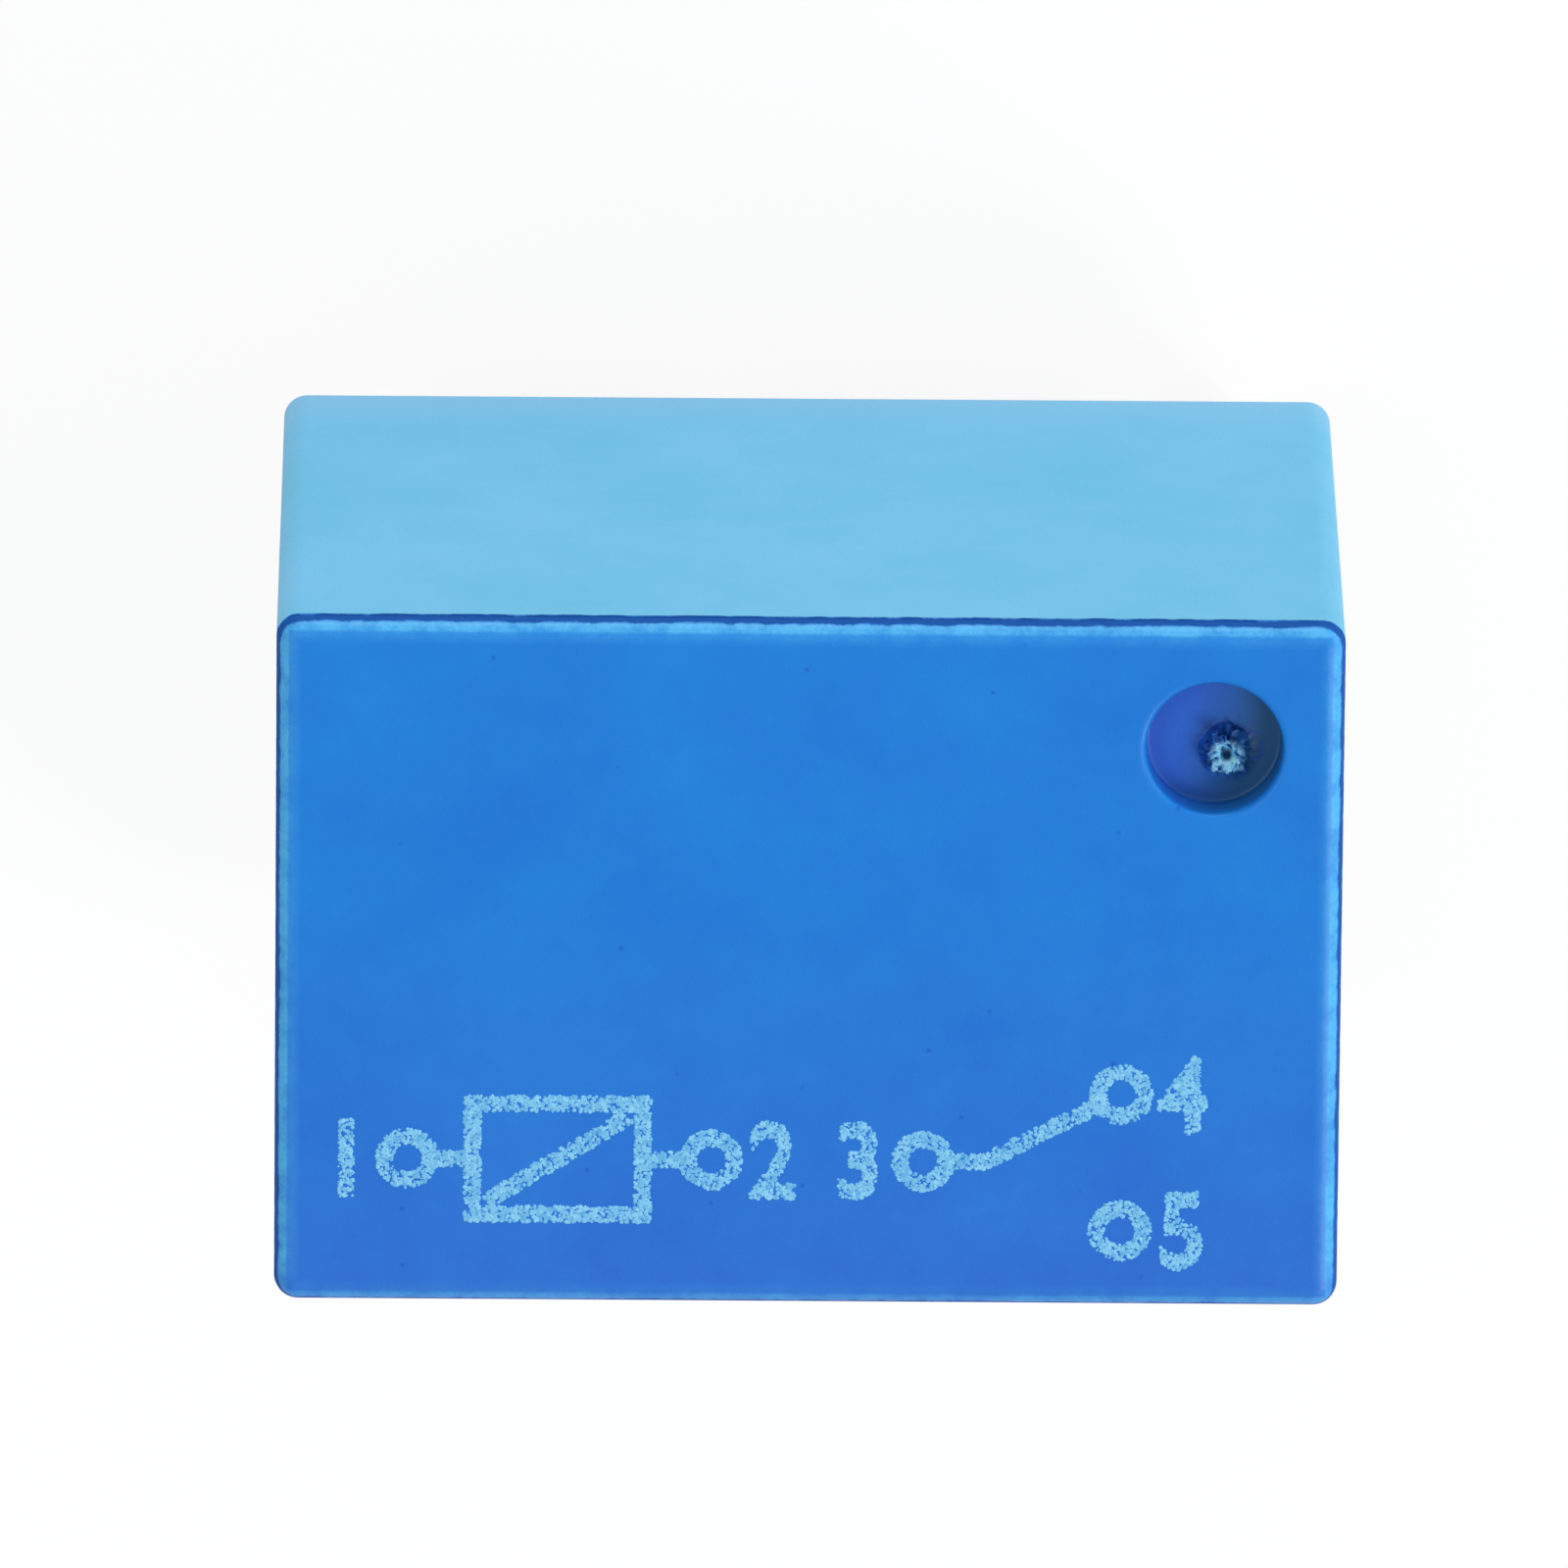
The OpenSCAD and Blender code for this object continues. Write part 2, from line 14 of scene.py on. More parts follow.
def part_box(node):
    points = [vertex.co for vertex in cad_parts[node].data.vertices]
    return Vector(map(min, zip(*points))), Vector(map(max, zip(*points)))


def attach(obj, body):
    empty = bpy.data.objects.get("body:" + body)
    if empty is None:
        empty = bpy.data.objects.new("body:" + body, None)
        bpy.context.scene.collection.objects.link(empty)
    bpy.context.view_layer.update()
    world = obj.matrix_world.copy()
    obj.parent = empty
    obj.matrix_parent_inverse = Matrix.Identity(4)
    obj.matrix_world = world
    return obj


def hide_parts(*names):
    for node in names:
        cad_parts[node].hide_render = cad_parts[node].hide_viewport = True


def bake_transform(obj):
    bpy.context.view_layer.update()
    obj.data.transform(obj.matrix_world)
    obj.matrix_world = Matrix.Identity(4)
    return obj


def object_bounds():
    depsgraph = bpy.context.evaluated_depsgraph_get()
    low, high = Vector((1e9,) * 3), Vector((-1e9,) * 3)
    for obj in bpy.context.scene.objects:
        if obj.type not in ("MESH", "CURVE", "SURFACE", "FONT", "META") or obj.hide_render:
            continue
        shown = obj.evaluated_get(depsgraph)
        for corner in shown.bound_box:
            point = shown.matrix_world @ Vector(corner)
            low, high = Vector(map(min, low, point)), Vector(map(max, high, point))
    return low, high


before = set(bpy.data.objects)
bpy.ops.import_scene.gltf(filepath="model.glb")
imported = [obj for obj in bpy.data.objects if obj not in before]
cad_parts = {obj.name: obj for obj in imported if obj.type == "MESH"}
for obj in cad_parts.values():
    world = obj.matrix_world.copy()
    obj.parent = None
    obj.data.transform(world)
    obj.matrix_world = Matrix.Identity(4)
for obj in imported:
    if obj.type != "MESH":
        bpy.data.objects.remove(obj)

cad_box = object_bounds()
MM = 0.001
case_low, case_high = (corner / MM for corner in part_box("cover"))
print("case, in mm:", [round(v, 2) for v in case_low], [round(v, 2) for v in case_high])

# %% [markdown]
# The camera looks down on the marked face, tilted a little towards the light side.
# A long lens from half a metre keeps the edges almost parallel, as a close-up of a small part does.
# The camera is slid sideways instead of using lens shift, so that other views stay centred.

# %% Camera
tilt, turn, roll = (math.radians(a) for a in (17.42, -0.41, -0.52))
distance, pixels_per_mm, picture_pixels = 470, 68.98, 1600
aim, slide_right, slide_up = Vector((0, 0, 5.8)), -0.33, 0.98
away = Vector((math.sin(turn), math.sin(tilt) * math.cos(turn), math.cos(tilt) * math.cos(turn)))
level_up = (Vector((0, 1, 0)) - away.y * away).normalized()
level_right = (-away).cross(level_up)
camera_up = math.cos(roll) * level_up + math.sin(roll) * level_right
camera_right = (-away).cross(camera_up)
place = aim + distance * away + slide_right * camera_right + slide_up * camera_up

camera = bpy.data.objects.new("camera", bpy.data.cameras.new("camera"))
camera.data.lens = camera.data.sensor_width * pixels_per_mm * distance / picture_pixels
camera.data.clip_start, camera.data.clip_end = 0.01, 20
axes = Matrix((camera_right, camera_up, away)).transposed().to_4x4()
camera.matrix_world = Matrix.Translation(place * MM) @ axes
bpy.context.scene.collection.objects.link(camera)
bpy.context.scene.camera = camera
print("lens, in mm:", round(camera.data.lens, 1))

# %% [markdown]
# Node trees are built in code, so a few small helpers keep the cells below short.
# The first adds a node, sets its plain values and links its inputs. The next makes a material with its
# Principled shader and object coordinates in millimetres. The rest mix colours and work out values.

# %% Helpers for node trees
def add(tree, kind, inputs=None, **settings):
    """Adds a node. Inputs are named sockets with a value or a socket to link."""
    made = tree.nodes.new(kind)
    for key, value in settings.items():
        setattr(made, key, value)
    for key, value in (inputs or {}).items():
        if isinstance(value, bpy.types.NodeSocket):
            tree.links.new(value, made.inputs[key])
        else:
            made.inputs[key].default_value = value
    return made


def new_material(name, **plain):
    """A material with object coordinates in mm. Plain values go straight on the shader's sockets."""
    material = bpy.data.materials.new(name)
    material.use_nodes = True
    tree = material.node_tree
    shader = tree.nodes["Principled BSDF"]
    for key, value in plain.items():
        shader.inputs[key.replace("_", " ")].default_value = value
    coordinates = add(tree, "ShaderNodeTexCoord")
    in_mm = add(tree, "ShaderNodeVectorMath", {0: coordinates.outputs["Object"], "Scale": 1000},
        operation="SCALE")
    return material, tree, shader, in_mm.outputs["Vector"]


def mixed(tree, mask, low, high):
    """A colour that runs from low to high with a mask. Each end is a colour or a socket."""
    mix = add(tree, "ShaderNodeMix", {"Factor": mask}, data_type="RGBA")
    low_socket, high_socket = (s for s in mix.inputs if s.type == "RGBA")
    for socket, colour in ((low_socket, low), (high_socket, high)):
        if isinstance(colour, bpy.types.NodeSocket):
            tree.links.new(colour, socket)
        else:
            socket.default_value = (*colour, 1)
    return next(s for s in mix.outputs if s.type == "RGBA")


def in_range(tree, value, low, high, to_low=0.0, to_high=1.0):
    """A value stretched from one range to another, and held at its ends."""
    made = add(tree, "ShaderNodeMapRange", {"Value": value, "From Min": low, "From Max": high,
        "To Min": to_low, "To Max": to_high})
    return made.outputs["Result"]


def combine(tree, operation, first, second):
    """Two values through one Math node."""
    return add(tree, "ShaderNodeMath", {0: first, 1: second}, operation=operation).outputs[0]


def times(tree, first, second):
    return combine(tree, "MULTIPLY", first, second)


print("node helpers ready")

# %% [markdown]
# The stage is a plain white floor under the pin tips, and a white surround.
# The camera sees a floor that is nearly white by itself, and so do reflections in the metal. A share of
# real light keeps the soft shadow of the relay on it. From below the floor is clear, so the pins can be
# inspected.

# %% Floor and surround
def seen_as_white(tree):
    """One for rays from the camera, through clear things and off shiny ones, and zero for the rest."""
    path = add(tree, "ShaderNodeLightPath")
    straight = combine(tree, "MAXIMUM", path.outputs["Is Camera Ray"], path.outputs["Is Transmission Ray"])
    return combine(tree, "MAXIMUM", straight, path.outputs["Is Glossy Ray"])


floor_half, floor_z = 3.0, cad_box[0].z
glow_share, surround_level = 0.9, 0.45
floor_mesh = bpy.data.meshes.new("floor")
floor_corners = [(x * floor_half, y * floor_half, floor_z) for x, y in ((-1, -1), (1, -1), (1, 1), (-1, 1))]
floor_mesh.from_pydata(floor_corners, [], [(0, 1, 2, 3)])
floor = bpy.data.objects.new("floor", floor_mesh)
bpy.context.scene.collection.objects.link(floor)

white_floor = bpy.data.materials.new("white floor")
white_floor.use_nodes = True
tree = white_floor.node_tree
tree.nodes.remove(tree.nodes["Principled BSDF"])
paper = add(tree, "ShaderNodeBsdfDiffuse", {"Color": (0.92, 0.92, 0.92, 1)})
glow = add(tree, "ShaderNodeEmission", {"Color": (1, 1, 1, 1), "Strength": 1.0})
share = times(tree, seen_as_white(tree), glow_share)
both = add(tree, "ShaderNodeMixShader", {0: share, 1: paper.outputs[0], 2: glow.outputs[0]})
below = add(tree, "ShaderNodeNewGeometry").outputs["Backfacing"]
clear = add(tree, "ShaderNodeBsdfTransparent")
one_way = add(tree, "ShaderNodeMixShader", {0: below, 1: both.outputs[0], 2: clear.outputs[0]})
tree.links.new(one_way.outputs[0], tree.nodes["Material Output"].inputs["Surface"])
floor_mesh.materials.append(white_floor)

world = bpy.data.worlds.new("white surround")
bpy.context.scene.world = world
world.use_nodes = True
tree = world.node_tree
level = in_range(tree, seen_as_white(tree), 0, 1, surround_level, 1.0)
tree.links.new(level, tree.nodes["Background"].inputs["Strength"])
tree.nodes["Background"].inputs["Color"].default_value = (1, 1, 1, 1)
bpy.context.scene.view_settings.view_transform = "Standard"
print("floor at z =", round(floor_z / MM, 2), "mm")

# %% [markdown]
# Four soft lamps do the rest. A low one faces the light side, a higher one comes over the near right
# edge, so that the walls of the vent dimple on that side stay dark, and two weak ones brighten the ends.
# A lamp of P watts at d metres lights a facing surface by P / (pi d)^2 of its own colour,
# so the watts are worked out from that share.

# %% Lamps
lamp_aim = Vector((0, 0, 6 * MM))


def soft_lamp(name, direction, share, size, reach=0.35):
    lamp = bpy.data.lights.new(name, "AREA")
    lamp.shape, lamp.size = "DISK", size
    lamp.energy = share * (math.pi * reach) ** 2
    holder = bpy.data.objects.new(name, lamp)
    towards = Vector(direction).normalized()
    holder.location = lamp_aim + reach * towards
    holder.rotation_euler = towards.to_track_quat("Z", "Y").to_euler()
    bpy.context.scene.collection.objects.link(holder)
    return lamp.energy


print("lamps, in watts:", [round(w, 3) for w in (
    soft_lamp("side lamp", (0.05, 1.0, 0.14), 0.52, 0.25),
    soft_lamp("key lamp", (0.75, -0.55, 0.95), 0.48, 0.16),
    soft_lamp("right lamp", (1.0, 0.3, 0.35), 0.34, 0.25),
    soft_lamp("left lamp", (-0.5, 0.1, 1.0), 0.21, 0.2))])

# %% [markdown]
# Moulded plastic is never quite even: the mould leaves a fine spark-eroded grain, and the colour
# drifts a little where the melt flowed. Several pieces here are moulded, so the effect is one node
# group with the grain size as an input. It gives a height for bump, a slow mottle for colour, and a few
# stray specks, which come from a cell pattern where one cell in five is used.

# %% Shared effect: moulded grain
def new_group(name, inputs, outputs):
    group = bpy.data.node_groups.new(name, "ShaderNodeTree")
    for label, kind, value in inputs:
        socket = group.interface.new_socket(label, in_out="INPUT", socket_type=kind)
        if value is not None:
            socket.default_value = value
    for label in outputs:
        group.interface.new_socket(label, in_out="OUTPUT", socket_type="NodeSocketFloat")
    return group, group.nodes.new("NodeGroupInput"), group.nodes.new("NodeGroupOutput")


moulded_grain, given, result = new_group("moulded grain", [("Position", "NodeSocketVector", None),
    ("Grain per mm", "NodeSocketFloat", 18.0), ("Drift per mm", "NodeSocketFloat", 0.35)],
    ["Height", "Mottle", "Speck"])
fine = add(moulded_grain, "ShaderNodeTexNoise", {"Vector": given.outputs["Position"],
    "Scale": given.outputs["Grain per mm"], "Detail": 3.0, "Roughness": 0.6})
slow = add(moulded_grain, "ShaderNodeTexNoise", {"Vector": given.outputs["Position"],
    "Scale": given.outputs["Drift per mm"], "Detail": 4.0, "Roughness": 0.7})
dots = add(moulded_grain, "ShaderNodeTexVoronoi", {"Vector": given.outputs["Position"], "Scale": 2.2})
chance = add(moulded_grain, "ShaderNodeSeparateColor", {0: dots.outputs["Color"]}).outputs[0]
speck = times(moulded_grain, in_range(moulded_grain, dots.outputs["Distance"], 0.11, 0.05),
    combine(moulded_grain, "GREATER_THAN", chance, 0.8))
moulded_grain.links.new(fine.outputs[0], result.inputs["Height"])
moulded_grain.links.new(in_range(moulded_grain, slow.outputs[0], 0.3, 0.7), result.inputs["Mottle"])
moulded_grain.links.new(speck, result.inputs["Speck"])
print("group:", moulded_grain.name, [s.name for s in moulded_grain.interface.items_tree])

# %% [markdown]
# Strip metal shows the direction in which it was rolled or drawn. Stretching a noise along one axis
# gives that streak, and a coarser cloud on top stands for handling and an uneven plated skin.

# %% Shared effect: drawn metal
drawn_metal, given, result = new_group("drawn metal", [("Position", "NodeSocketVector", None),
    ("Stretch", "NodeSocketVector", (1.0, 1.0, 1.0)), ("Streaks per mm", "NodeSocketFloat", 12.0)],
    ["Streak", "Cloud"])
stretched = add(drawn_metal, "ShaderNodeVectorMath", {0: given.outputs["Position"],
    1: given.outputs["Stretch"]}, operation="MULTIPLY")
streak = add(drawn_metal, "ShaderNodeTexNoise", {"Vector": stretched.outputs[0],
    "Scale": given.outputs["Streaks per mm"], "Detail": 4.0})
cloud = add(drawn_metal, "ShaderNodeTexNoise", {"Vector": given.outputs["Position"], "Scale": 1.7,
    "Detail": 3.0})
drawn_metal.links.new(streak.outputs[0], result.inputs["Streak"])
drawn_metal.links.new(in_range(drawn_metal, cloud.outputs[0], 0.35, 0.65), result.inputs["Cloud"])
print("group:", drawn_metal.name, [s.name for s in drawn_metal.interface.items_tree])


def use_group(tree, group, **inputs):
    """Places a shared effect in a material, with its own values, and gives its outputs."""
    named = {key.replace("_", " "): value for key, value in inputs.items()}
    return add(tree, "ShaderNodeGroup", named, node_tree=group).outputs


def bump(tree, shader, height, strength, depth_mm):
    """Lets a height bend the light on a surface."""
    made = add(tree, "ShaderNodeBump", {"Height": height, "Strength": strength, "Distance": depth_mm * MM})
    tree.links.new(made.outputs["Normal"], shader.inputs["Normal"])


# %% [markdown]
# The case is one deep box of blue plastic. Its flanks carry the mould's matt grain, and their colour is
# painted paler than the top as a painted sheen. A fine groove runs round the box where the top begins and is
# painted dark as painted shade, while the rounded edge above it is painted pale as a painted highlight. The
# floor of the vent dimple is painted darker towards the corner as painted shade. The stub in it was snapped
# off, so the torn plastic there is stress-white, with its brightest flakes as painted highlight, a painted
# shadow beside it, and a crater painted dark as painted shade.
# All these places are told apart by their position on the piece, so the finish holds in every view.

# %% Finish of the case: zones
case_length, case_width, case_height = (2 * case_high.x, 2 * case_high.y, case_high.z)
edge_radius, corner_radius = 0.3, 0.35
edge_start = case_height - edge_radius
vent_centre, vent_radius, vent_depth = Vector((5.9, 3.35)), 1.0, 0.6
nib_centre, tear_centre, stub_shadow_centre = Vector((6.08, 3.18)), Vector((6.09, 3.11)), Vector((6.16, 3.23))

case_blue, tree, shader, position = new_material("case blue", Specular_IOR_Level=0.22, IOR=1.5)
grain = use_group(tree, moulded_grain, Position=position, Grain_per_mm=20.0)
xyz = add(tree, "ShaderNodeSeparateXYZ", {0: position}).outputs
in_plan = add(tree, "ShaderNodeVectorMath", {0: position, 1: (1, 1, 0)}, operation="MULTIPLY").outputs[0]


def between(tree, value, low, high, soft):
    """One inside a range, with soft ends."""
    return times(tree, in_range(tree, value, low - soft, low), in_range(tree, value, high + soft, high))


def away_from(tree, centre):
    """How far a point lies from a centre, seen from above."""
    made = add(tree, "ShaderNodeVectorMath", {0: in_plan, 1: (*centre, 0)}, operation="DISTANCE")
    return made.outputs["Value"]


def inset_from(tree, axis, half):
    """How far a point lies inside the box along one axis."""
    return combine(tree, "SUBTRACT", half, combine(tree, "ABSOLUTE", axis, 0))


inset = combine(tree, "MINIMUM", inset_from(tree, xyz["X"], case_length / 2),
    inset_from(tree, xyz["Y"], case_width / 2))
# Painted highlight: a pale band along the rounded top edge, broken up by a noise, weaker along the near edge.
edge_highlight = combine(tree, "MAXIMUM", between(tree, inset, 0.06, 0.16, 0.06),
    times(tree, in_range(tree, inset, 0.38, 0.1), 0.5))
painted_light_breakup = add(tree, "ShaderNodeTexNoise", {"Vector": position, "Scale": 2.6, "Detail": 4.0,
    "Roughness": 0.65}).outputs[0]
edge_highlight = times(tree, edge_highlight, in_range(tree, painted_light_breakup, 0.36, 0.6, 0.5, 1.1))
uneven_z = combine(tree, "ADD", xyz["Z"], in_range(tree, painted_light_breakup, 0.35, 0.65, -0.02, 0.025))
spots = (vent_centre, tear_centre, stub_shadow_centre)
from_vent, from_tear, from_stub_shadow = (away_from(tree, spot) for spot in spots)
off_vent = in_range(tree, from_vent, vent_radius + 0.12, vent_radius + 0.2)
flakes = add(tree, "ShaderNodeTexNoise", {"Vector": position, "Scale": 9.0, "Detail": 2.0}).outputs[0]
line_low, line_high, edge_low, edge_high = (edge_start + rise for rise in (0.02, 0.165, 0.16, 0.205))
zone = {
    "flank": times(tree, in_range(tree, xyz["Z"], line_low, edge_start), off_vent),
    "line": times(tree, between(tree, uneven_z, line_low, line_high, 0.03), off_vent),
    "edge": times(tree, in_range(tree, xyz["Z"], edge_low, edge_high),
        times(tree, edge_highlight, in_range(tree, xyz["Y"], -4.9, -4.5, 0.5, 1.0))),
    "web": times(tree, in_range(tree, from_vent, vent_radius + 0.03, vent_radius - 0.03),
        in_range(tree, xyz["Z"], case_height - 0.03, case_height - 0.16)),
    "stub_shadow": times(tree, in_range(tree, from_stub_shadow, 0.55, 0.42), in_range(tree, flakes, 0.5, 0.44)),
    "torn": times(tree, in_range(tree, from_tear, 0.30, 0.18), in_range(tree, flakes, 0.37, 0.47)),
    "pit": in_range(tree, from_tear, 0.10, 0.05),
}
print("zones:", sorted(zone))

# %% [markdown]
# The zones are laid over each other, one after the other, from the largest to the smallest.
# The marked face is painted a little darker and more violet towards its near edge, as painted shade, and the
# flanks are paler towards the rim.

# %% Finish of the case: colours
# Painted shade: the top face is painted darker and more violet towards its near edge.
shaded_near_tone = mixed(tree, grain["Mottle"], (0.014, 0.116, 0.540), (0.020, 0.155, 0.584))
lit_far_tone = mixed(tree, grain["Mottle"], (0.004, 0.155, 0.576), (0.006, 0.194, 0.622))
tone = mixed(tree, in_range(tree, xyz["Y"], -5.0, 1.0), shaded_near_tone, lit_far_tone)
tone = mixed(tree, times(tree, grain["Speck"], 0.5), tone, (0.004, 0.07, 0.36))
# Painted sheen: the flanks are painted paler and more cyan than the top, and paler still towards the rim.
side = mixed(tree, grain["Mottle"], (0.086, 0.420, 0.640), (0.126, 0.442, 0.703))
side = mixed(tree, in_range(tree, xyz["Z"], 1.6, 0.0), side, (0.160, 0.445, 0.682))
tone = mixed(tree, zone["flank"], tone, side)
# Painted highlight on the rounded top edge.
edge_highlight_tone = mixed(tree, grain["Height"], (0.025, 0.30, 0.69), (0.11, 0.48, 0.80))
tone = mixed(tree, zone["edge"], tone, edge_highlight_tone)
# Painted shade: the groove round the top is painted dark.
tone = mixed(tree, zone["line"], tone, (0.0, 0.072, 0.33))
# Painted shade: the dimple floor is painted darker towards the corner, where the wall's shadow falls.
towards_corner = combine(tree, "SUBTRACT", xyz["X"], times(tree, xyz["Y"], 0.3))
dimple_shade_tone = mixed(tree, in_range(tree, towards_corner, 4.4, 5.5), (0.018, 0.112, 0.52), (0.009, 0.086, 0.225))
tone = mixed(tree, zone["web"], tone, dimple_shade_tone)
# Painted shadow: dark flakes beside the broken stub.
tone = mixed(tree, zone["stub_shadow"], tone, (0.012, 0.065, 0.30))
# The torn plastic is stress-white; its near-white flakes on the near side are partly painted highlight.
torn_tone = mixed(tree, in_range(tree, flakes, 0.42, 0.64), (0.13, 0.50, 0.82), (0.50, 0.88, 1.0))
tone = mixed(tree, zone["torn"], tone, torn_tone)
# Painted shade: the crater of the broken stub is painted near black.
tone = mixed(tree, zone["pit"], tone, (0.003, 0.04, 0.12))
tree.links.new(tone, shader.inputs["Base Color"])
matt = combine(tree, "ADD", in_range(tree, zone["flank"], 0, 1, 0.36, 0.5),
    in_range(tree, zone["line"], 0, 1, 0, 0.4))
roughness = combine(tree, "ADD", matt, in_range(tree, grain["Height"], 0.3, 0.7, -0.05, 0.07))
tree.links.new(roughness, shader.inputs["Roughness"])
bump(tree, shader, grain["Height"], 0.3, 0.012)
print("finish:", case_blue.name)

# %% [markdown]
# The case could be a cube with bevels, but a loft gives full control of every edge.
# Each ring is a rounded rectangle with the same number of points, so neighbouring rings join in quads.
# Extra points just outside each corner arc keep the flats truly flat when the shell is shaded smooth.

# %% Rings and lofts
def rounded_ring(bm, half_x, half_y, radius, z, steps=10, pad=0.04):
    """Vertices of a rounded rectangle at height z, counter-clockwise. Sizes are in mm."""
    ring = []
    for quarter, (sx, sy) in enumerate(((1, 1), (-1, 1), (-1, -1), (1, -1))):
        centre = Vector((sx * (half_x - radius), sy * (half_y - radius), z))
        for i in range(-1, steps + 2):
            angle = math.radians(90 * (quarter + min(max(i, 0), steps) / steps))
            beyond = pad * (1 if i > steps else -1 if i < 0 else 0)
            along = Vector((-math.sin(angle), math.cos(angle), 0)) * beyond
            point = centre + radius * Vector((math.cos(angle), math.sin(angle), 0)) + along
            ring.append(bm.verts.new(point * MM))
    return ring


def round_ring(bm, centre, radius, z, count=72, wobble=None):
    """Vertices of a circle at height z. A wobble moves each one outwards and up."""
    ring = []
    for i in range(count):
        angle = 2 * math.pi * i / count
        out, up = wobble(angle) if wobble else (0, 0)
        ring.append(bm.verts.new(Vector((centre.x + (radius + out) * math.cos(angle),
            centre.y + (radius + out) * math.sin(angle), z + up)) * MM))
    return ring


def join_rings(bm, first, second):
    """Quads between two rings with the same number of points."""
    for i in range(len(first)):
        j = (i + 1) % len(first)
        bm.faces.new((first[i], first[j], second[j], second[i]))


def loft(bm, rings):
    for first, second in zip(rings, rings[1:]):
        join_rings(bm, first, second)


def fill_between(bm, outer, inner, up):
    """A flat face between two loops."""
    edges = [bm.edges.get(pair) for ring in (outer, inner) for pair in zip(ring, ring[1:] + ring[:1])]
    bmesh.ops.triangle_fill(bm, use_beauty=True, edges=edges, normal=(0, 0, up))


def finished(bm, name, material, sharp=38):
    """Turns a bmesh into an object at the origin, shaded smooth except at sharp edges."""
    bmesh.ops.recalc_face_normals(bm, faces=bm.faces)
    mesh = bpy.data.meshes.new(name)
    bm.to_mesh(mesh)
    bm.free()
    mesh.shade_smooth()
    mesh.set_sharp_from_angle(angle=math.radians(sharp))
    mesh.materials.append(material)
    made = bpy.data.objects.new(name, mesh)
    bpy.context.scene.collection.objects.link(made)
    print(name, len(mesh.polygons), "faces")
    return made


# %% [markdown]
# The loft starts at the ceiling inside, runs down the inner wall, round the rim and up the outside.
# The top edge is an arc, and the fine line is a shallow groove low on that arc.

# %% Case: walls, rim and top edge
wall, ceiling, cavity_corner = 0.6, 10.75, 0.15
bm = bmesh.new()
half_x, half_y = case_length / 2, case_width / 2
inside = [(wall + 0.16, ceiling), (wall + 0.12, ceiling), (wall + 0.04, ceiling - 0.04),
    (wall, ceiling - 0.12), (wall, ceiling - 0.2), (wall, 0.12), (wall, 0.06), (wall - 0.02, 0.02),
    (wall - 0.06, 0), (wall - 0.1, 0)]
outside = [(0.1, 0), (0.06, 0), (0.02, 0.02), (0, 0.06), (0, 0.12), (0, edge_start - 0.05), (0, edge_start)]
groove = {1: 0.0, 6: 0.028, 12: 0.03, 19: 0.0}
for angle in sorted({*groove, *range(27, 91, 7)}):
    radius = edge_radius - groove.get(angle, 0.0)
    arc = math.radians(angle)
    outside.append((edge_radius - radius * math.cos(arc), edge_start + radius * math.sin(arc)))
outside.append((edge_radius + 0.05, case_height))
rings = [rounded_ring(bm, half_x - inset, half_y - inset, cavity_corner, z) for inset, z in inside]
rings += [rounded_ring(bm, half_x - inset, half_y - inset, max(corner_radius - inset, 0.05), z)
    for inset, z in outside]
loft(bm, rings)
print("rings in the case:", len(rings), "with", len(rings[0]), "points each")

# %% [markdown]
# The vent dimple is a round well near one corner. A thin stub stood in it, and was snapped off after
# soldering, which leaves a ragged crater. Seeded noise bends its rings, so each run gives the same stub.

# %% Case: vent dimple and its broken stub
def ragged(amount, lift, seed):
    """A wobble that follows a noise round the ring, by an amount outwards and a lift upwards."""
    def wobble(angle):
        point = Vector((math.cos(angle), math.sin(angle), seed)) * 1.7
        finer = point * 3 + Vector((5, 3, 1))
        return amount * (noise.noise(point) + 0.5 * noise.noise(finer)), lift * noise.noise(finer)
    return wobble


top = case_height
floor_of_vent = top - vent_depth
nib_foot = 0.44
well = [(vent_radius + 0.13, top), (vent_radius + 0.08, top), (vent_radius + 0.04, top - 0.012),
    (vent_radius + 0.012, top - 0.04), (vent_radius, top - 0.08), (vent_radius - 0.005, top - 0.14),
    (vent_radius - 0.012, floor_of_vent + 0.06), (vent_radius - 0.018, floor_of_vent + 0.02),
    (vent_radius - 0.035, floor_of_vent + 0.004), (vent_radius - 0.06, floor_of_vent)]
well_rings = [round_ring(bm, vent_centre, radius, z) for radius, z in well]
for share in (0.2, 0.5, 0.8):
    radius = (vent_radius - 0.06) * (1 - share) + nib_foot * share
    well_rings.append(round_ring(bm, vent_centre.lerp(nib_centre, share), radius, floor_of_vent))
stub = [(0.40, 0.02, 0.05, 0.01), (0.35, 0.08, 0.12, 0.08), (0.31, 0.15, 0.16, 0.16),
    (0.28, 0.22, 0.17, 0.24), (0.24, 0.25, 0.15, 0.26), (0.19, 0.23, 0.11, 0.22),
    (0.15, 0.16, 0.08, 0.14), (0.11, 0.08, 0.05, 0.06), (0.06, 0.02, 0.02, 0.01)]
for n, (radius, rise, amount, lift) in enumerate(stub):
    well_rings.append(round_ring(bm, nib_centre, radius, floor_of_vent + rise,
        wobble=ragged(amount, lift, 0.3 * n)))
loft(bm, well_rings)
bm.faces.new(well_rings[-1])
fill_between(bm, rings[-1], well_rings[0], 1)
web = [round_ring(bm, vent_centre, radius, z) for radius, z in
    ((1.2, ceiling), (1.18, ceiling - 0.05), (1.16, floor_of_vent - 0.3), (1.1, floor_of_vent - 0.35))]
loft(bm, web)
bm.faces.new(web[-1])
fill_between(bm, rings[0], web[0], -1)
case_shell = finished(bm, "case_shell", case_blue)
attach(case_shell, "relay_frame")
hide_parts("cover")

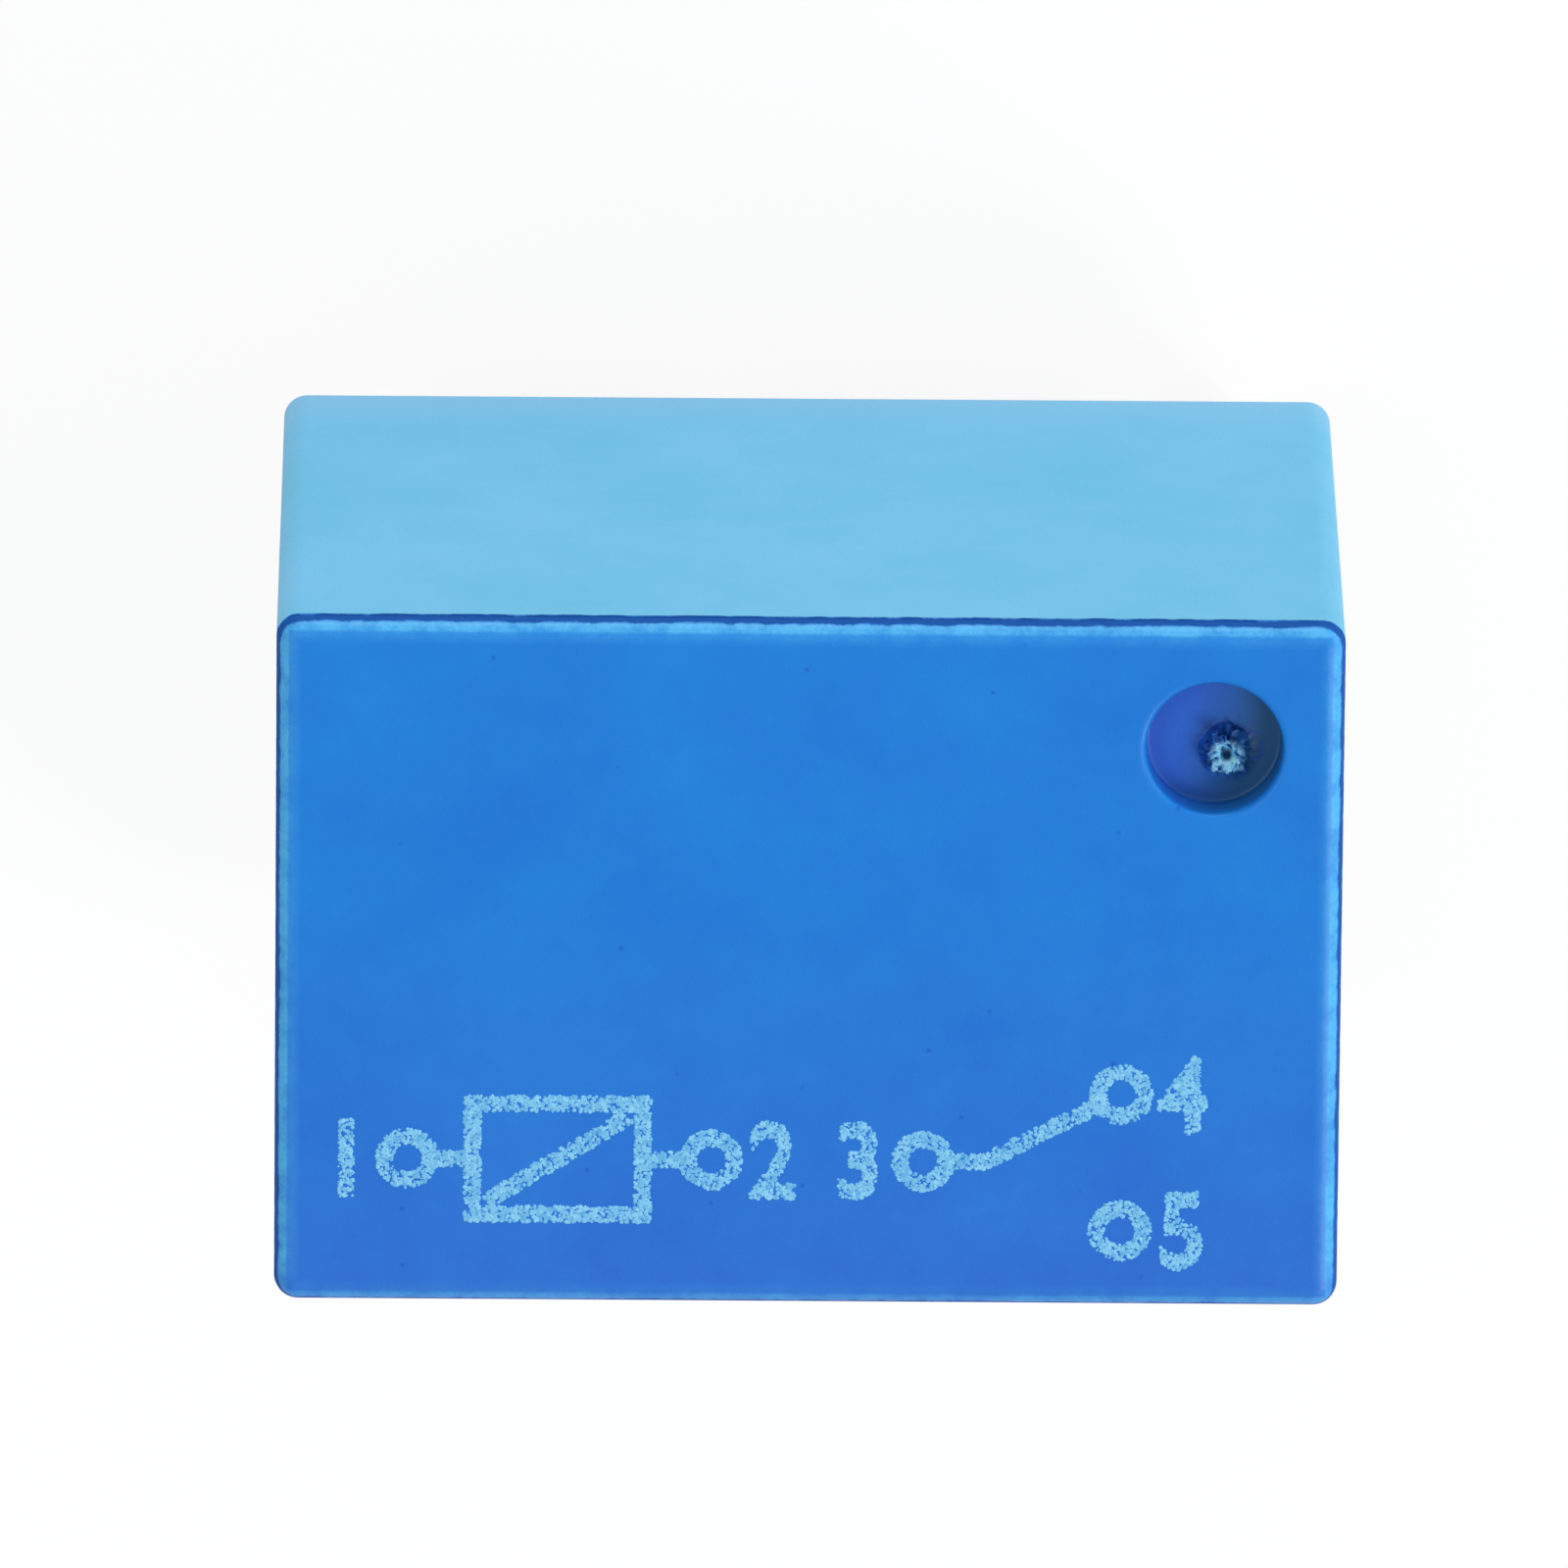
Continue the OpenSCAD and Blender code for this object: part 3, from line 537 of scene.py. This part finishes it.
# %% [markdown]
# A contact plan is marked on the top: the coil between its two ends, and the change-over contact.
# A laser foams the plastic into pale grains, so the strokes are ragged and speckled.
# Strokes are flat ribbons first, and Geometry Nodes then scatter small grains over them.

# %% Contact plan: strokes
plan_mesh = bmesh.new()
stroke = 0.24


def ribbon(points, closed=False):
    """A flat band along points on the top face, in mm."""
    path = [Vector(p) for p in points]
    count = len(path)
    sides = []
    for i, p in enumerate(path):
        before = path[i - 1] if closed or i else p
        after = path[(i + 1) % count] if closed or i < count - 1 else p
        across = Vector((before.y - after.y, after.x - before.x)).normalized() * stroke / 2
        sides.append([plan_mesh.verts.new(((p.x + s * across.x) * MM, (p.y + s * across.y) * MM, top * MM))
            for s in (-1, 1)])
    for i in range(count if closed else count - 1):
        a, b = sides[i], sides[(i + 1) % count]
        plan_mesh.faces.new((a[0], b[0], b[1], a[1]))


def around(count):
    """Angles in even steps round a circle."""
    return [2 * math.pi * i / count for i in range(count)]


def terminal_dot(x, y, radius=0.34):
    ribbon([(x + radius * math.cos(a), y + radius * math.sin(a)) for a in around(24)], closed=True)


def numeral(text, x, y, height=1.2, narrow=0.86, swell=0.028):
    """One plain figure, centred on x and y, a little narrowed and thickened."""
    curve = bpy.data.curves.new("numeral", "FONT")
    curve.body, curve.size, curve.offset = text, 1.0, swell
    holder = bpy.data.objects.new("numeral", curve)
    bpy.context.scene.collection.objects.link(holder)
    bpy.context.view_layer.update()
    flat = bpy.data.meshes.new_from_object(holder.evaluated_get(bpy.context.evaluated_depsgraph_get()))
    low = [min(v.co[k] for v in flat.vertices) for k in (0, 1)]
    high = [max(v.co[k] for v in flat.vertices) for k in (0, 1)]
    size = height / (high[1] - low[1])
    middle = Vector(((low[0] + high[0]) / 2, (low[1] + high[1]) / 2, 0))
    onto_top = Matrix.Translation(Vector((x, y, top)) * MM)
    to_size = Matrix.Diagonal((narrow * size * MM, size * MM, MM, 1))
    flat.transform(onto_top @ to_size @ Matrix.Translation(-middle))
    plan_mesh.from_mesh(flat)
    bpy.data.objects.remove(holder)
    bpy.data.curves.remove(curve)


def coil_box(x0, y0, x1, y1):
    half = stroke / 2
    for start, end in (((x0 - half, y0), (x1 + half, y0)), ((x0 - half, y1), (x1 + half, y1)),
        ((x0, y0 + half), (x0, y1 - half)), ((x1, y0 + half), (x1, y1 - half))):
        ribbon([start, end])


row, upper, lower = -3.0, -1.95, -4.05
figures = (("1", -6.75, row), ("2", -0.5, row), ("3", 0.75, row), ("4", 5.5, upper), ("5", 5.5, lower))
for figure, x, y in figures:
    numeral(figure, x, y)
for x, y in ((-5.85, row), (-1.4, row), (1.7, row), (4.6, upper), (4.6, lower)):
    terminal_dot(x, y)
for points in ([(-5.5, row), (-5.02, row)], [(-2.28, row), (-1.75, row)], [(-4.7, -3.66), (-2.6, -2.34)],
    [(2.05, row), (2.65, row)], [(2.6, row), (4.3, -2.1)]):
    ribbon(points)
coil_box(-4.9, -3.85, -2.4, -2.15)
strokes_area = sum(face.calc_area() for face in plan_mesh.faces) / MM ** 2
print("strokes cover", round(strokes_area, 1), "square mm")

# %% [markdown]
# The tree scatters points on the ribbons, more thinly where a noise is low, puts a low five-sided grain
# on each, and makes them real.
# Size, number and seed are named inputs, set by their identifiers before the object is evaluated.

# %% Contact plan: grains
mark_blue, tree, shader, position = new_material("mark blue", Specular_IOR_Level=0.3)
cells = add(tree, "ShaderNodeTexVoronoi", {"Vector": position, "Scale": 14.0})
foam_tone = mixed(tree, cells.outputs["Color"], (0.086, 0.36, 0.66), (0.248, 0.59, 0.81))
tree.links.new(foam_tone, shader.inputs["Base Color"])
tree.links.new(in_range(tree, cells.outputs["Distance"], 0, 1, 0.5, 0.7), shader.inputs["Roughness"])


def new_tree(name, inputs):
    """An empty geometry tree with its named inputs."""
    tree = bpy.data.node_groups.new(name, "GeometryNodeTree")
    tree.interface.new_socket("Geometry", in_out="INPUT", socket_type="NodeSocketGeometry")
    for label, kind in inputs:
        tree.interface.new_socket(label, in_out="INPUT", socket_type=kind)
    tree.interface.new_socket("Geometry", in_out="OUTPUT", socket_type="NodeSocketGeometry")
    return tree, tree.nodes.new("NodeGroupInput").outputs, tree.nodes.new("NodeGroupOutput")


def grown(source, tree, values, name):
    """Runs a tree on a mesh and keeps the result as a plain mesh object."""
    holder = bpy.data.objects.new(name + "_source", source)
    bpy.context.scene.collection.objects.link(holder)
    modifier = holder.modifiers.new("nodes", "NODES")
    modifier.node_group = tree
    sockets = {item.name: item.identifier for item in tree.interface.items_tree if item.in_out == "INPUT"}
    for label, value in values.items():
        modifier[sockets[label]] = value
    bpy.context.view_layer.update()
    mesh = bpy.data.meshes.new_from_object(holder.evaluated_get(bpy.context.evaluated_depsgraph_get()))
    bpy.data.objects.remove(holder)
    made = bpy.data.objects.new(name, mesh)
    mesh.name = name
    bpy.context.scene.collection.objects.link(made)
    print(name, len(mesh.polygons), "faces")
    return made


scatter, given, out = new_tree("scatter grains", [("Grains per square metre", "NodeSocketFloat"),
    ("Grain radius", "NodeSocketFloat"), ("Grain height", "NodeSocketFloat"), ("Seed", "NodeSocketInt")])
patches = add(scatter, "ShaderNodeTexNoise", {"Scale": 5000.0, "Detail": 2.0})
dense = in_range(scatter, patches.outputs[0], 0.35, 0.55, 0.4, 1.15)
points = add(scatter, "GeometryNodeDistributePointsOnFaces", {"Mesh": given["Geometry"],
    "Density": times(scatter, given["Grains per square metre"], dense), "Seed": given["Seed"]})
grain_shape = add(scatter, "GeometryNodeMeshCone", {"Vertices": 5, "Radius Bottom": given["Grain radius"],
    "Radius Top": times(scatter, given["Grain radius"], 0.55), "Depth": given["Grain height"]})
sizes = add(scatter, "FunctionNodeRandomValue", {"Min": 0.6, "Max": 1.5, "Seed": given["Seed"]})
turns = add(scatter, "FunctionNodeRandomValue", {"Max": (0.0, 0.0, 6.28), "Seed": given["Seed"]},
    data_type="FLOAT_VECTOR")
grains = add(scatter, "GeometryNodeInstanceOnPoints", {"Points": points.outputs["Points"],
    "Instance": grain_shape.outputs["Mesh"], "Rotation": turns.outputs[0], "Scale": sizes.outputs[1]})
real = add(scatter, "GeometryNodeRealizeInstances", {"Geometry": grains.outputs[0]})
painted = add(scatter, "GeometryNodeSetMaterial", {"Geometry": real.outputs[0], "Material": mark_blue})
scatter.links.new(painted.outputs[0], out.inputs[0])

plan_source = bpy.data.meshes.new("plan_strokes")
bmesh.ops.recalc_face_normals(plan_mesh, faces=plan_mesh.faces)
plan_mesh.to_mesh(plan_source)
plan_mesh.free()
contact_plan = grown(plan_source, scatter, {"Grains per square metre": 1150e6, "Grain radius": 0.0245 * MM,
    "Grain height": 0.006 * MM, "Seed": 7}, "contact_plan")
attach(contact_plan, "relay_frame")

# %% [markdown]
# The finishes of the remaining pieces share the two effects: plastics take the moulded grain, metals
# the drawn streaks. Each gets its own colours, gloss and depth.

# %% Finishes of the other pieces
def plastic(name, dark, light, rough_range, grain_size, depth, strength=0.25, **plain):
    material, tree, shader, position = new_material(name, **plain)
    grain = use_group(tree, moulded_grain, Position=position, Grain_per_mm=grain_size)
    tree.links.new(mixed(tree, grain["Mottle"], dark, light), shader.inputs["Base Color"])
    tree.links.new(in_range(tree, grain["Height"], 0.3, 0.7, *rough_range), shader.inputs["Roughness"])
    bump(tree, shader, grain["Height"], strength, depth)
    return material


def metal(name, dark, light, rough_range, stretch, depth, strength=0.2, streaks=12.0, **plain):
    material, tree, shader, position = new_material(name, Metallic=1.0, **plain)
    drawn = use_group(tree, drawn_metal, Position=position, Stretch=stretch, Streaks_per_mm=streaks)
    tree.links.new(mixed(tree, drawn["Cloud"], dark, light), shader.inputs["Base Color"])
    tree.links.new(in_range(tree, drawn["Streak"], 0.3, 0.7, *rough_range), shader.inputs["Roughness"])
    bump(tree, shader, drawn["Streak"], strength, depth)
    return material


evenly, along_y, along_z, along_leaf = (1.0, 1.0, 1.0), (1.0, 0.12, 1.0), (1.0, 1.0, 0.12), (0.1, 1.0, 0.1)
finish = {
    "seal_resin": plastic("resin black", (0.012, 0.014, 0.018), (0.022, 0.025, 0.032), (0.10, 0.22), 1.2,
        0.03, 0.15, Coat_Weight=0.3),
    "base": plastic("base blue", (0.006, 0.022, 0.075), (0.010, 0.032, 0.10), (0.42, 0.55), 16.0, 0.01),
    "bobbin": plastic("bobbin cream", (0.62, 0.58, 0.47), (0.70, 0.66, 0.55), (0.38, 0.5), 16.0, 0.01),
    "iron": metal("bright iron", (0.50, 0.50, 0.51), (0.62, 0.62, 0.62), (0.26, 0.42), along_y, 0.006),
    "tin": metal("tinned strip", (0.60, 0.60, 0.58), (0.74, 0.73, 0.70), (0.20, 0.36), along_z, 0.006),
    "solder": metal("solder", (0.58, 0.58, 0.57), (0.72, 0.72, 0.70), (0.16, 0.3), evenly, 0.01, 0.3, 6.0),
    "spring": metal("spring bronze", (0.60, 0.33, 0.16), (0.72, 0.42, 0.22), (0.2, 0.34), along_leaf, 0.004),
    "silver": metal("contact silver", (0.80, 0.79, 0.75), (0.90, 0.88, 0.84), (0.22, 0.36), evenly, 0.004),
    "wire": metal("enamelled wire", (0.42, 0.13, 0.04), (0.55, 0.20, 0.07), (0.22, 0.34), evenly, 0.003,
        Coat_Weight=0.6),
}
print("finishes:", sorted(finish))

# %% [markdown]
# Resin is poured in with the relay upside down, so its skin dips in the middle and climbs a little way
# up the wall and the pins before it sets. A grid of heights, worked out from the distance to the wall
# and to each pin, gives that skin. The block is closed behind it, up to the base.

# %% Seal resin with its meniscus
coil_x, pin_end, pin_row = -1.27, 6.35, 3.81
pins = [(x, side * pin_row) for x in (-pin_end, coil_x, pin_end) for side in (-1, 1)]
reach_x, reach_y = case_length / 2 - wall + 0.02, case_width / 2 - wall + 0.02


def skin_height(x, y):
    """How high the skin stands at a place. It creeps down towards the rim at the wall and the pins."""
    to_wall = min(reach_x - abs(x), reach_y - abs(y))
    to_pin = min(math.hypot(max(abs(x - px) - 0.2, 0), max(abs(y - py) - 0.25, 0)) for px, py in pins)
    wave = 0.012 * noise.noise(Vector((x * 0.6, y * 0.6, 2.0)))
    return max(0.15 + wave - 0.10 * math.exp(-to_wall / 0.22) - 0.11 * math.exp(-to_pin / 0.2), 0.02)


bm = bmesh.new()
across, along = 96, 144
columns = [reach_x * (2 * i / along - 1) for i in range(along + 1)]
rows = [reach_y * (2 * j / across - 1) for j in range(across + 1)]
grid = [[bm.verts.new(Vector((x, y, skin_height(x, y))) * MM) for y in rows] for x in columns]
for i in range(along):
    for j in range(across):
        bm.faces.new((grid[i][j], grid[i][j + 1], grid[i + 1][j + 1], grid[i + 1][j]))
border = [grid[i][0] for i in range(along)] + [grid[along][j] for j in range(across)]
border += [grid[i][across] for i in range(along, 0, -1)] + [grid[0][j] for j in range(across, 0, -1)]
back = [bm.verts.new((v.co.x, v.co.y, 0.5 * MM)) for v in border]
join_rings(bm, border, back)
bm.faces.new(back)
resin_skin = finished(bm, "resin_skin", finish["seal_resin"], sharp=60)
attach(resin_skin, "relay_frame")
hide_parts("seal_resin")

# %% [markdown]
# Stamped, turned and moulded pieces have no knife edges. A copy of each solid is merged, its flat
# triangles are joined, and every edge sharper than a set angle gets a small round.
# The rounded copy then stands for the solid, in the same place and on the same body.

# %% Rounded copies of the solids
tiny = 0.0005 * MM


def settle(elements, spot):
    """Puts vertices or faces in the order of their places, so that each run gives the same list."""
    rank = {element: i for i, element in enumerate(sorted(elements, key=spot))}
    elements.sort(key=rank.get)


def round_edges(bm, width):
    """Joins flat faces and rounds every sharp edge by a width in mm."""
    bmesh.ops.dissolve_limit(bm, angle_limit=math.radians(0.5), verts=bm.verts, edges=bm.edges)
    sharp = [e for e in bm.edges if len(e.link_faces) == 2 and e.calc_face_angle() > math.radians(40)]
    bmesh.ops.bevel(bm, geom=sharp, offset=width * MM, offset_type="OFFSET", segments=2, profile=0.5,
        affect="EDGES", clamp_overlap=True)
    bmesh.ops.dissolve_degenerate(bm, dist=tiny, edges=bm.edges)
    bmesh.ops.triangulate(bm, faces=[f for f in bm.faces if len(f.verts) > 4])
    settle(bm.verts, lambda v: v.co.to_tuple(9))
    settle(bm.faces, lambda f: f.calc_center_median().to_tuple(9))


def softened(node, name, width, material):
    """A copy of a solid with rounded edges, which stands for it."""
    bm = bmesh.new()
    bm.from_mesh(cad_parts[node].data)
    bmesh.ops.remove_doubles(bm, verts=bm.verts, dist=tiny)
    round_edges(bm, width)
    made = finished(bm, name, material, sharp=30)
    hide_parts(node)
    return made


still = [
    ("base", "base_plate", 0.04, "base", "base_plastic"),
    ("bobbin", "bobbin_body", 0.04, "bobbin", "bobbin_plastic"),
    ("yoke", "yoke_angle", 0.05, "iron", "iron"),
    ("core", "core_rivet", 0.05, "iron", "iron"),
    ("common_terminal", "common_strip", 0.05, "tin", "tinned_brass"),
    ("nc_terminal", "nc_strip", 0.05, "tin", "tinned_brass"),
    ("no_terminal", "no_strip", 0.05, "tin", "tinned_brass"),
    ("nc_contact", "nc_button", 0.03, "silver", "contact_silver"),
    ("no_contact", "no_button", 0.03, "silver", "contact_silver")]
moving = [
    ("armature", "armature_plate", 0.05, "iron", "iron"),
    ("moving_contact", "moving_button", 0.03, "silver", "contact_silver")]
for node, name, width, look, slot in still:
    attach(softened(node, name, width, finish[look]), "relay_frame")
for node, name, width, look, slot in moving:
    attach(softened(node, name, width, finish[look]), "armature_unit")

# %% [markdown]
# The contact spring is stamped flat from thin bronze sheet and then bent, so it is made that way here too.
# First comes the flat blank, u along the spring and y across it, with u = 0 where the bend begins.
# It has holes for the rivets, and a window that leaves two strands, so that the bend is soft.

# %% Contact spring: flat blank
sheet, bend_radius, bend_angle = 0.12, 0.6, math.radians(87.5)
bend_length = bend_radius * bend_angle
window_half, blank_half, arm_half = 0.7, 2.1, 0.85
leg_end, leg_window, leg_rivets = -4.249, -0.307, -3.149
leaf_window, leaf_rivets, shoulder, neck, contact_at = (
    bend_length + u for u in (1.0, 2.79, 3.59, 6.8, 10.32))
rivet_radius, rivet_rows, shank_radius = 0.42, (-1.2, 1.2), 0.32
blank = bmesh.new()
corners = {}


def corner(u, y):
    """A point of the blank, shared by all the loops that pass through it."""
    key = (round(u, 4), round(y, 4))
    if key not in corners:
        corners[key] = blank.verts.new((u, y, 0))
    return corners[key]


def disc(u, radius, y=0.0):
    return [(u + radius * math.cos(a), y + radius * math.sin(a)) for a in around(32)]


def fill_sheet(*loops):
    """Flat faces inside the first loop and outside the others."""
    edges = []
    for loop in loops:
        ring = [corner(*point) for point in loop]
        for a, b in zip(ring, ring[1:] + ring[:1]):
            edges.append(blank.edges.get((a, b)) or blank.edges.new((a, b)))
    bmesh.ops.triangle_fill(blank, use_beauty=True, edges=edges, normal=(0, 0, 1))


leg_side = [(leg_window, -window_half), (0, -window_half), (0, -blank_half), (leg_end, -blank_half)]
mirrored = [(u, -y) for u, y in reversed(leg_side)]
fill_sheet(leg_side + mirrored, *(disc(leg_rivets, rivet_radius, y) for y in rivet_rows))
tip = [(contact_at + arm_half * math.sin(a), -arm_half * math.cos(a)) for a in
    [math.pi * i / 24 for i in range(25)]]
leaf_side = [(leaf_window, -window_half), (bend_length, -window_half), (bend_length, -blank_half),
    (shoulder, -blank_half), (neck, -arm_half)]
mirrored = [(u, -y) for u, y in reversed(leaf_side)]
fill_sheet(leaf_side + tip + mirrored, disc(contact_at, shank_radius),
    *(disc(leaf_rivets, rivet_radius, y) for y in rivet_rows))
strand_steps = [bend_length * i / 16 for i in range(17)]
for low, high in ((-blank_half, -window_half), (window_half, blank_half)):
    for u, v in zip(strand_steps, strand_steps[1:]):
        blank.faces.new((corner(u, low), corner(v, low), corner(v, high), corner(u, high)))
print("blank:", round(sum(f.calc_area() for f in blank.faces), 1), "square mm of sheet")

# %% [markdown]
# A bending rule places each point of the blank along the leg, round the bend or along the leaf, once for
# each side of the sheet, and walls close the cut edges.
# The leg is fixed to the yoke and the leaf rides on the armature.

# %% Contact spring: bent to shape
leg_x, leg_top = -6.09, 8.3407


def bent(point, offset):
    """Where a point of the blank goes, and how far it lies off the middle of the sheet."""
    u = point.x
    angle = min(max(u / bend_radius, 0), bend_angle)
    outwards = Vector((-math.cos(angle), 0, math.sin(angle)))
    along = Vector((math.sin(angle), 0, math.cos(angle)))
    place = Vector((leg_x + bend_radius, point.y, leg_top)) + (bend_radius + offset) * outwards
    return (place + (u - bend_radius * angle) * along) * MM


bm = bmesh.new()
faces_of = [{v: bm.verts.new(bent(v.co, side * sheet / 2)) for v in blank.verts} for side in (1, -1)]
for face in blank.faces:
    for skin in faces_of:
        bm.faces.new([skin[v] for v in face.verts])
for edge in blank.edges:
    if len(edge.link_faces) == 1:
        a, b = edge.verts
        bm.faces.new((faces_of[0][a], faces_of[0][b], faces_of[1][b], faces_of[1][a]))
bmesh.ops.recalc_face_normals(bm, faces=bm.faces)
blank.free()
round_edges(bm, 0.02)
leaf_spring = finished(bm, "leaf_spring", finish["spring"], sharp=30)
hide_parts("contact_spring")
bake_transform(leaf_spring)

# %% [markdown]
# A coil pin is round wire below the case and is pressed square inside it. Rings with the same number
# of points turn from round to square, and a dome of solder caps the post.

# %% Coil pins and their solder
def square_ring(bm, centre, half, z):
    """Vertices of a square, at the same angles as those of a round ring."""
    ring = []
    for angle in around(32):
        x, y = math.cos(angle), math.sin(angle)
        reach = half / max(abs(x), abs(y))
        ring.append(bm.verts.new(Vector((centre.x + reach * x, centre.y + reach * y, z)) * MM))
    return ring


cap_radius, cap_z, cap_rise = 0.318, 4.43, 0.28
for side, letter in ((-1, "a"), (1, "b")):
    foot = Vector((coil_x, side * pin_row))
    bm = bmesh.new()
    tail = [(0.06, -3.5), (0.12, -3.47), (0.17, -3.38), (0.225, -3.24), (0.245, -3.17), (0.25, -3.1),
        (0.25, 0.05)]
    pin_rings = [round_ring(bm, foot, radius, z, count=32) for radius, z in tail]
    pin_rings += [square_ring(bm, foot, 0.225, z) for z in (0.16, 4.36)] + [square_ring(bm, foot, 0.2, 4.4)]
    loft(bm, pin_rings)
    bm.faces.new(pin_rings[0])
    bm.faces.new(pin_rings[-1])
    pin = finished(bm, "coil_wire_pin_" + letter, finish["tin"], sharp=35)
    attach(pin, "relay_frame")
    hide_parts("coil_pin_" + letter)

    bm = bmesh.new()
    dome = [(0.30, 4.38), (cap_radius, cap_z)] + [(cap_radius * math.cos(a), cap_z + cap_rise * math.sin(a))
        for a in [math.radians(t) for t in range(12, 85, 12)]]
    dome_rings = [round_ring(bm, foot, radius, z, count=32, wobble=ragged(0.02, 0.0, side))
        for radius, z in dome]
    loft(bm, dome_rings)
    bm.faces.new(dome_rings[0])
    bm.faces.new(dome_rings[-1])
    cap = finished(bm, "solder_cap_" + letter, finish["solder"], sharp=50)
    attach(cap, "relay_frame")
    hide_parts("solder_" + letter)

# %% [markdown]
# The winding is one thin wire laid in tight turns. A spiral curve with a round profile follows that
# rule exactly, so one tree winds the coil and, with other values, the lead around each post.

# %% Coil winding
wind, given, out = new_tree("wound wire", [("Turns", "NodeSocketFloat"), ("Radius", "NodeSocketFloat"),
    ("Height", "NodeSocketFloat"), ("Wire diameter", "NodeSocketFloat"), ("Place", "NodeSocketVector"),
    ("Points per turn", "NodeSocketInt")])
path = add(wind, "GeometryNodeCurveSpiral", {"Resolution": given["Points per turn"],
    "Rotations": given["Turns"], "Start Radius": given["Radius"], "End Radius": given["Radius"],
    "Height": given["Height"]})
section = add(wind, "GeometryNodeCurvePrimitiveCircle", {"Resolution": 8,
    "Radius": times(wind, given["Wire diameter"], 0.5)})
tube = add(wind, "GeometryNodeCurveToMesh", {"Curve": path.outputs[0], "Profile Curve": section.outputs[0],
    "Fill Caps": True})
moved = add(wind, "GeometryNodeTransform", {"Geometry": tube.outputs[0], "Translation": given["Place"]})
smooth = add(wind, "GeometryNodeSetShadeSmooth", {"Geometry": moved.outputs[0]})
real = add(wind, "GeometryNodeRealizeInstances", {"Geometry": smooth.outputs[0]})
painted = add(wind, "GeometryNodeSetMaterial", {"Geometry": real.outputs[0], "Material": finish["wire"]})
wind.links.new(painted.outputs[0], out.inputs[0])

coil_low, coil_high, coil_radius, bore_radius, wire = 3.0, 7.03, 3.21, 1.68, 0.2
lead_radius, lead_wire, lead_z, lead_from, lead_run = 0.43, 0.17, 3.12, 2.9, 0.91
parts = [grown(bpy.data.meshes.new("empty"), wind, {"Turns": 20.0, "Radius": (coil_radius - wire / 2) * MM,
    "Height": (coil_high - coil_low - wire) * MM, "Wire diameter": wire * MM, "Points per turn": 56,
    "Place": (coil_x * MM, 0.0, (coil_low + wire / 2) * MM)}, "outer_turns")]
for side in (-1, 1):
    parts.append(grown(bpy.data.meshes.new("empty"), wind, {"Turns": 3.0, "Radius": lead_radius * MM,
        "Height": 0.54 * MM, "Wire diameter": lead_wire * MM, "Points per turn": 40,
        "Place": (coil_x * MM, side * pin_row * MM, 3.1 * MM)}, "lead_turns"))
bm = bmesh.new()
for part in parts:
    bm.from_mesh(part.data)
    bpy.data.objects.remove(part)
drum = [round_ring(bm, Vector((coil_x, 0)), coil_radius - 0.12, z, count=64) for z in (coil_low, coil_high)]
bore = [round_ring(bm, Vector((coil_x, 0)), bore_radius, z, count=64) for z in (coil_high, coil_low)]
loft(bm, drum + bore + drum[:1])
for side in (-1, 1):
    lead = []
    for step in range(6):
        y = lead_from + step / 5 * lead_run
        ring = [(lead_radius + lead_wire / 2 * math.cos(a), lead_z + lead_wire / 2 * math.sin(a))
            for a in around(8)]
        lead.append([bm.verts.new(Vector((coil_x + side * x, side * y, z)) * MM) for x, z in ring])
    loft(bm, lead)
    bm.faces.new(lead[0])
    bm.faces.new(lead[-1])
copper_coil = finished(bm, "copper_coil", finish["wire"], sharp=60)
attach(copper_coil, "relay_frame")
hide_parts("coil_winding")

# %% Finish
print("solids, in mm:", [round(v / MM, 2) for v in (*cad_box[0], *cad_box[1])])
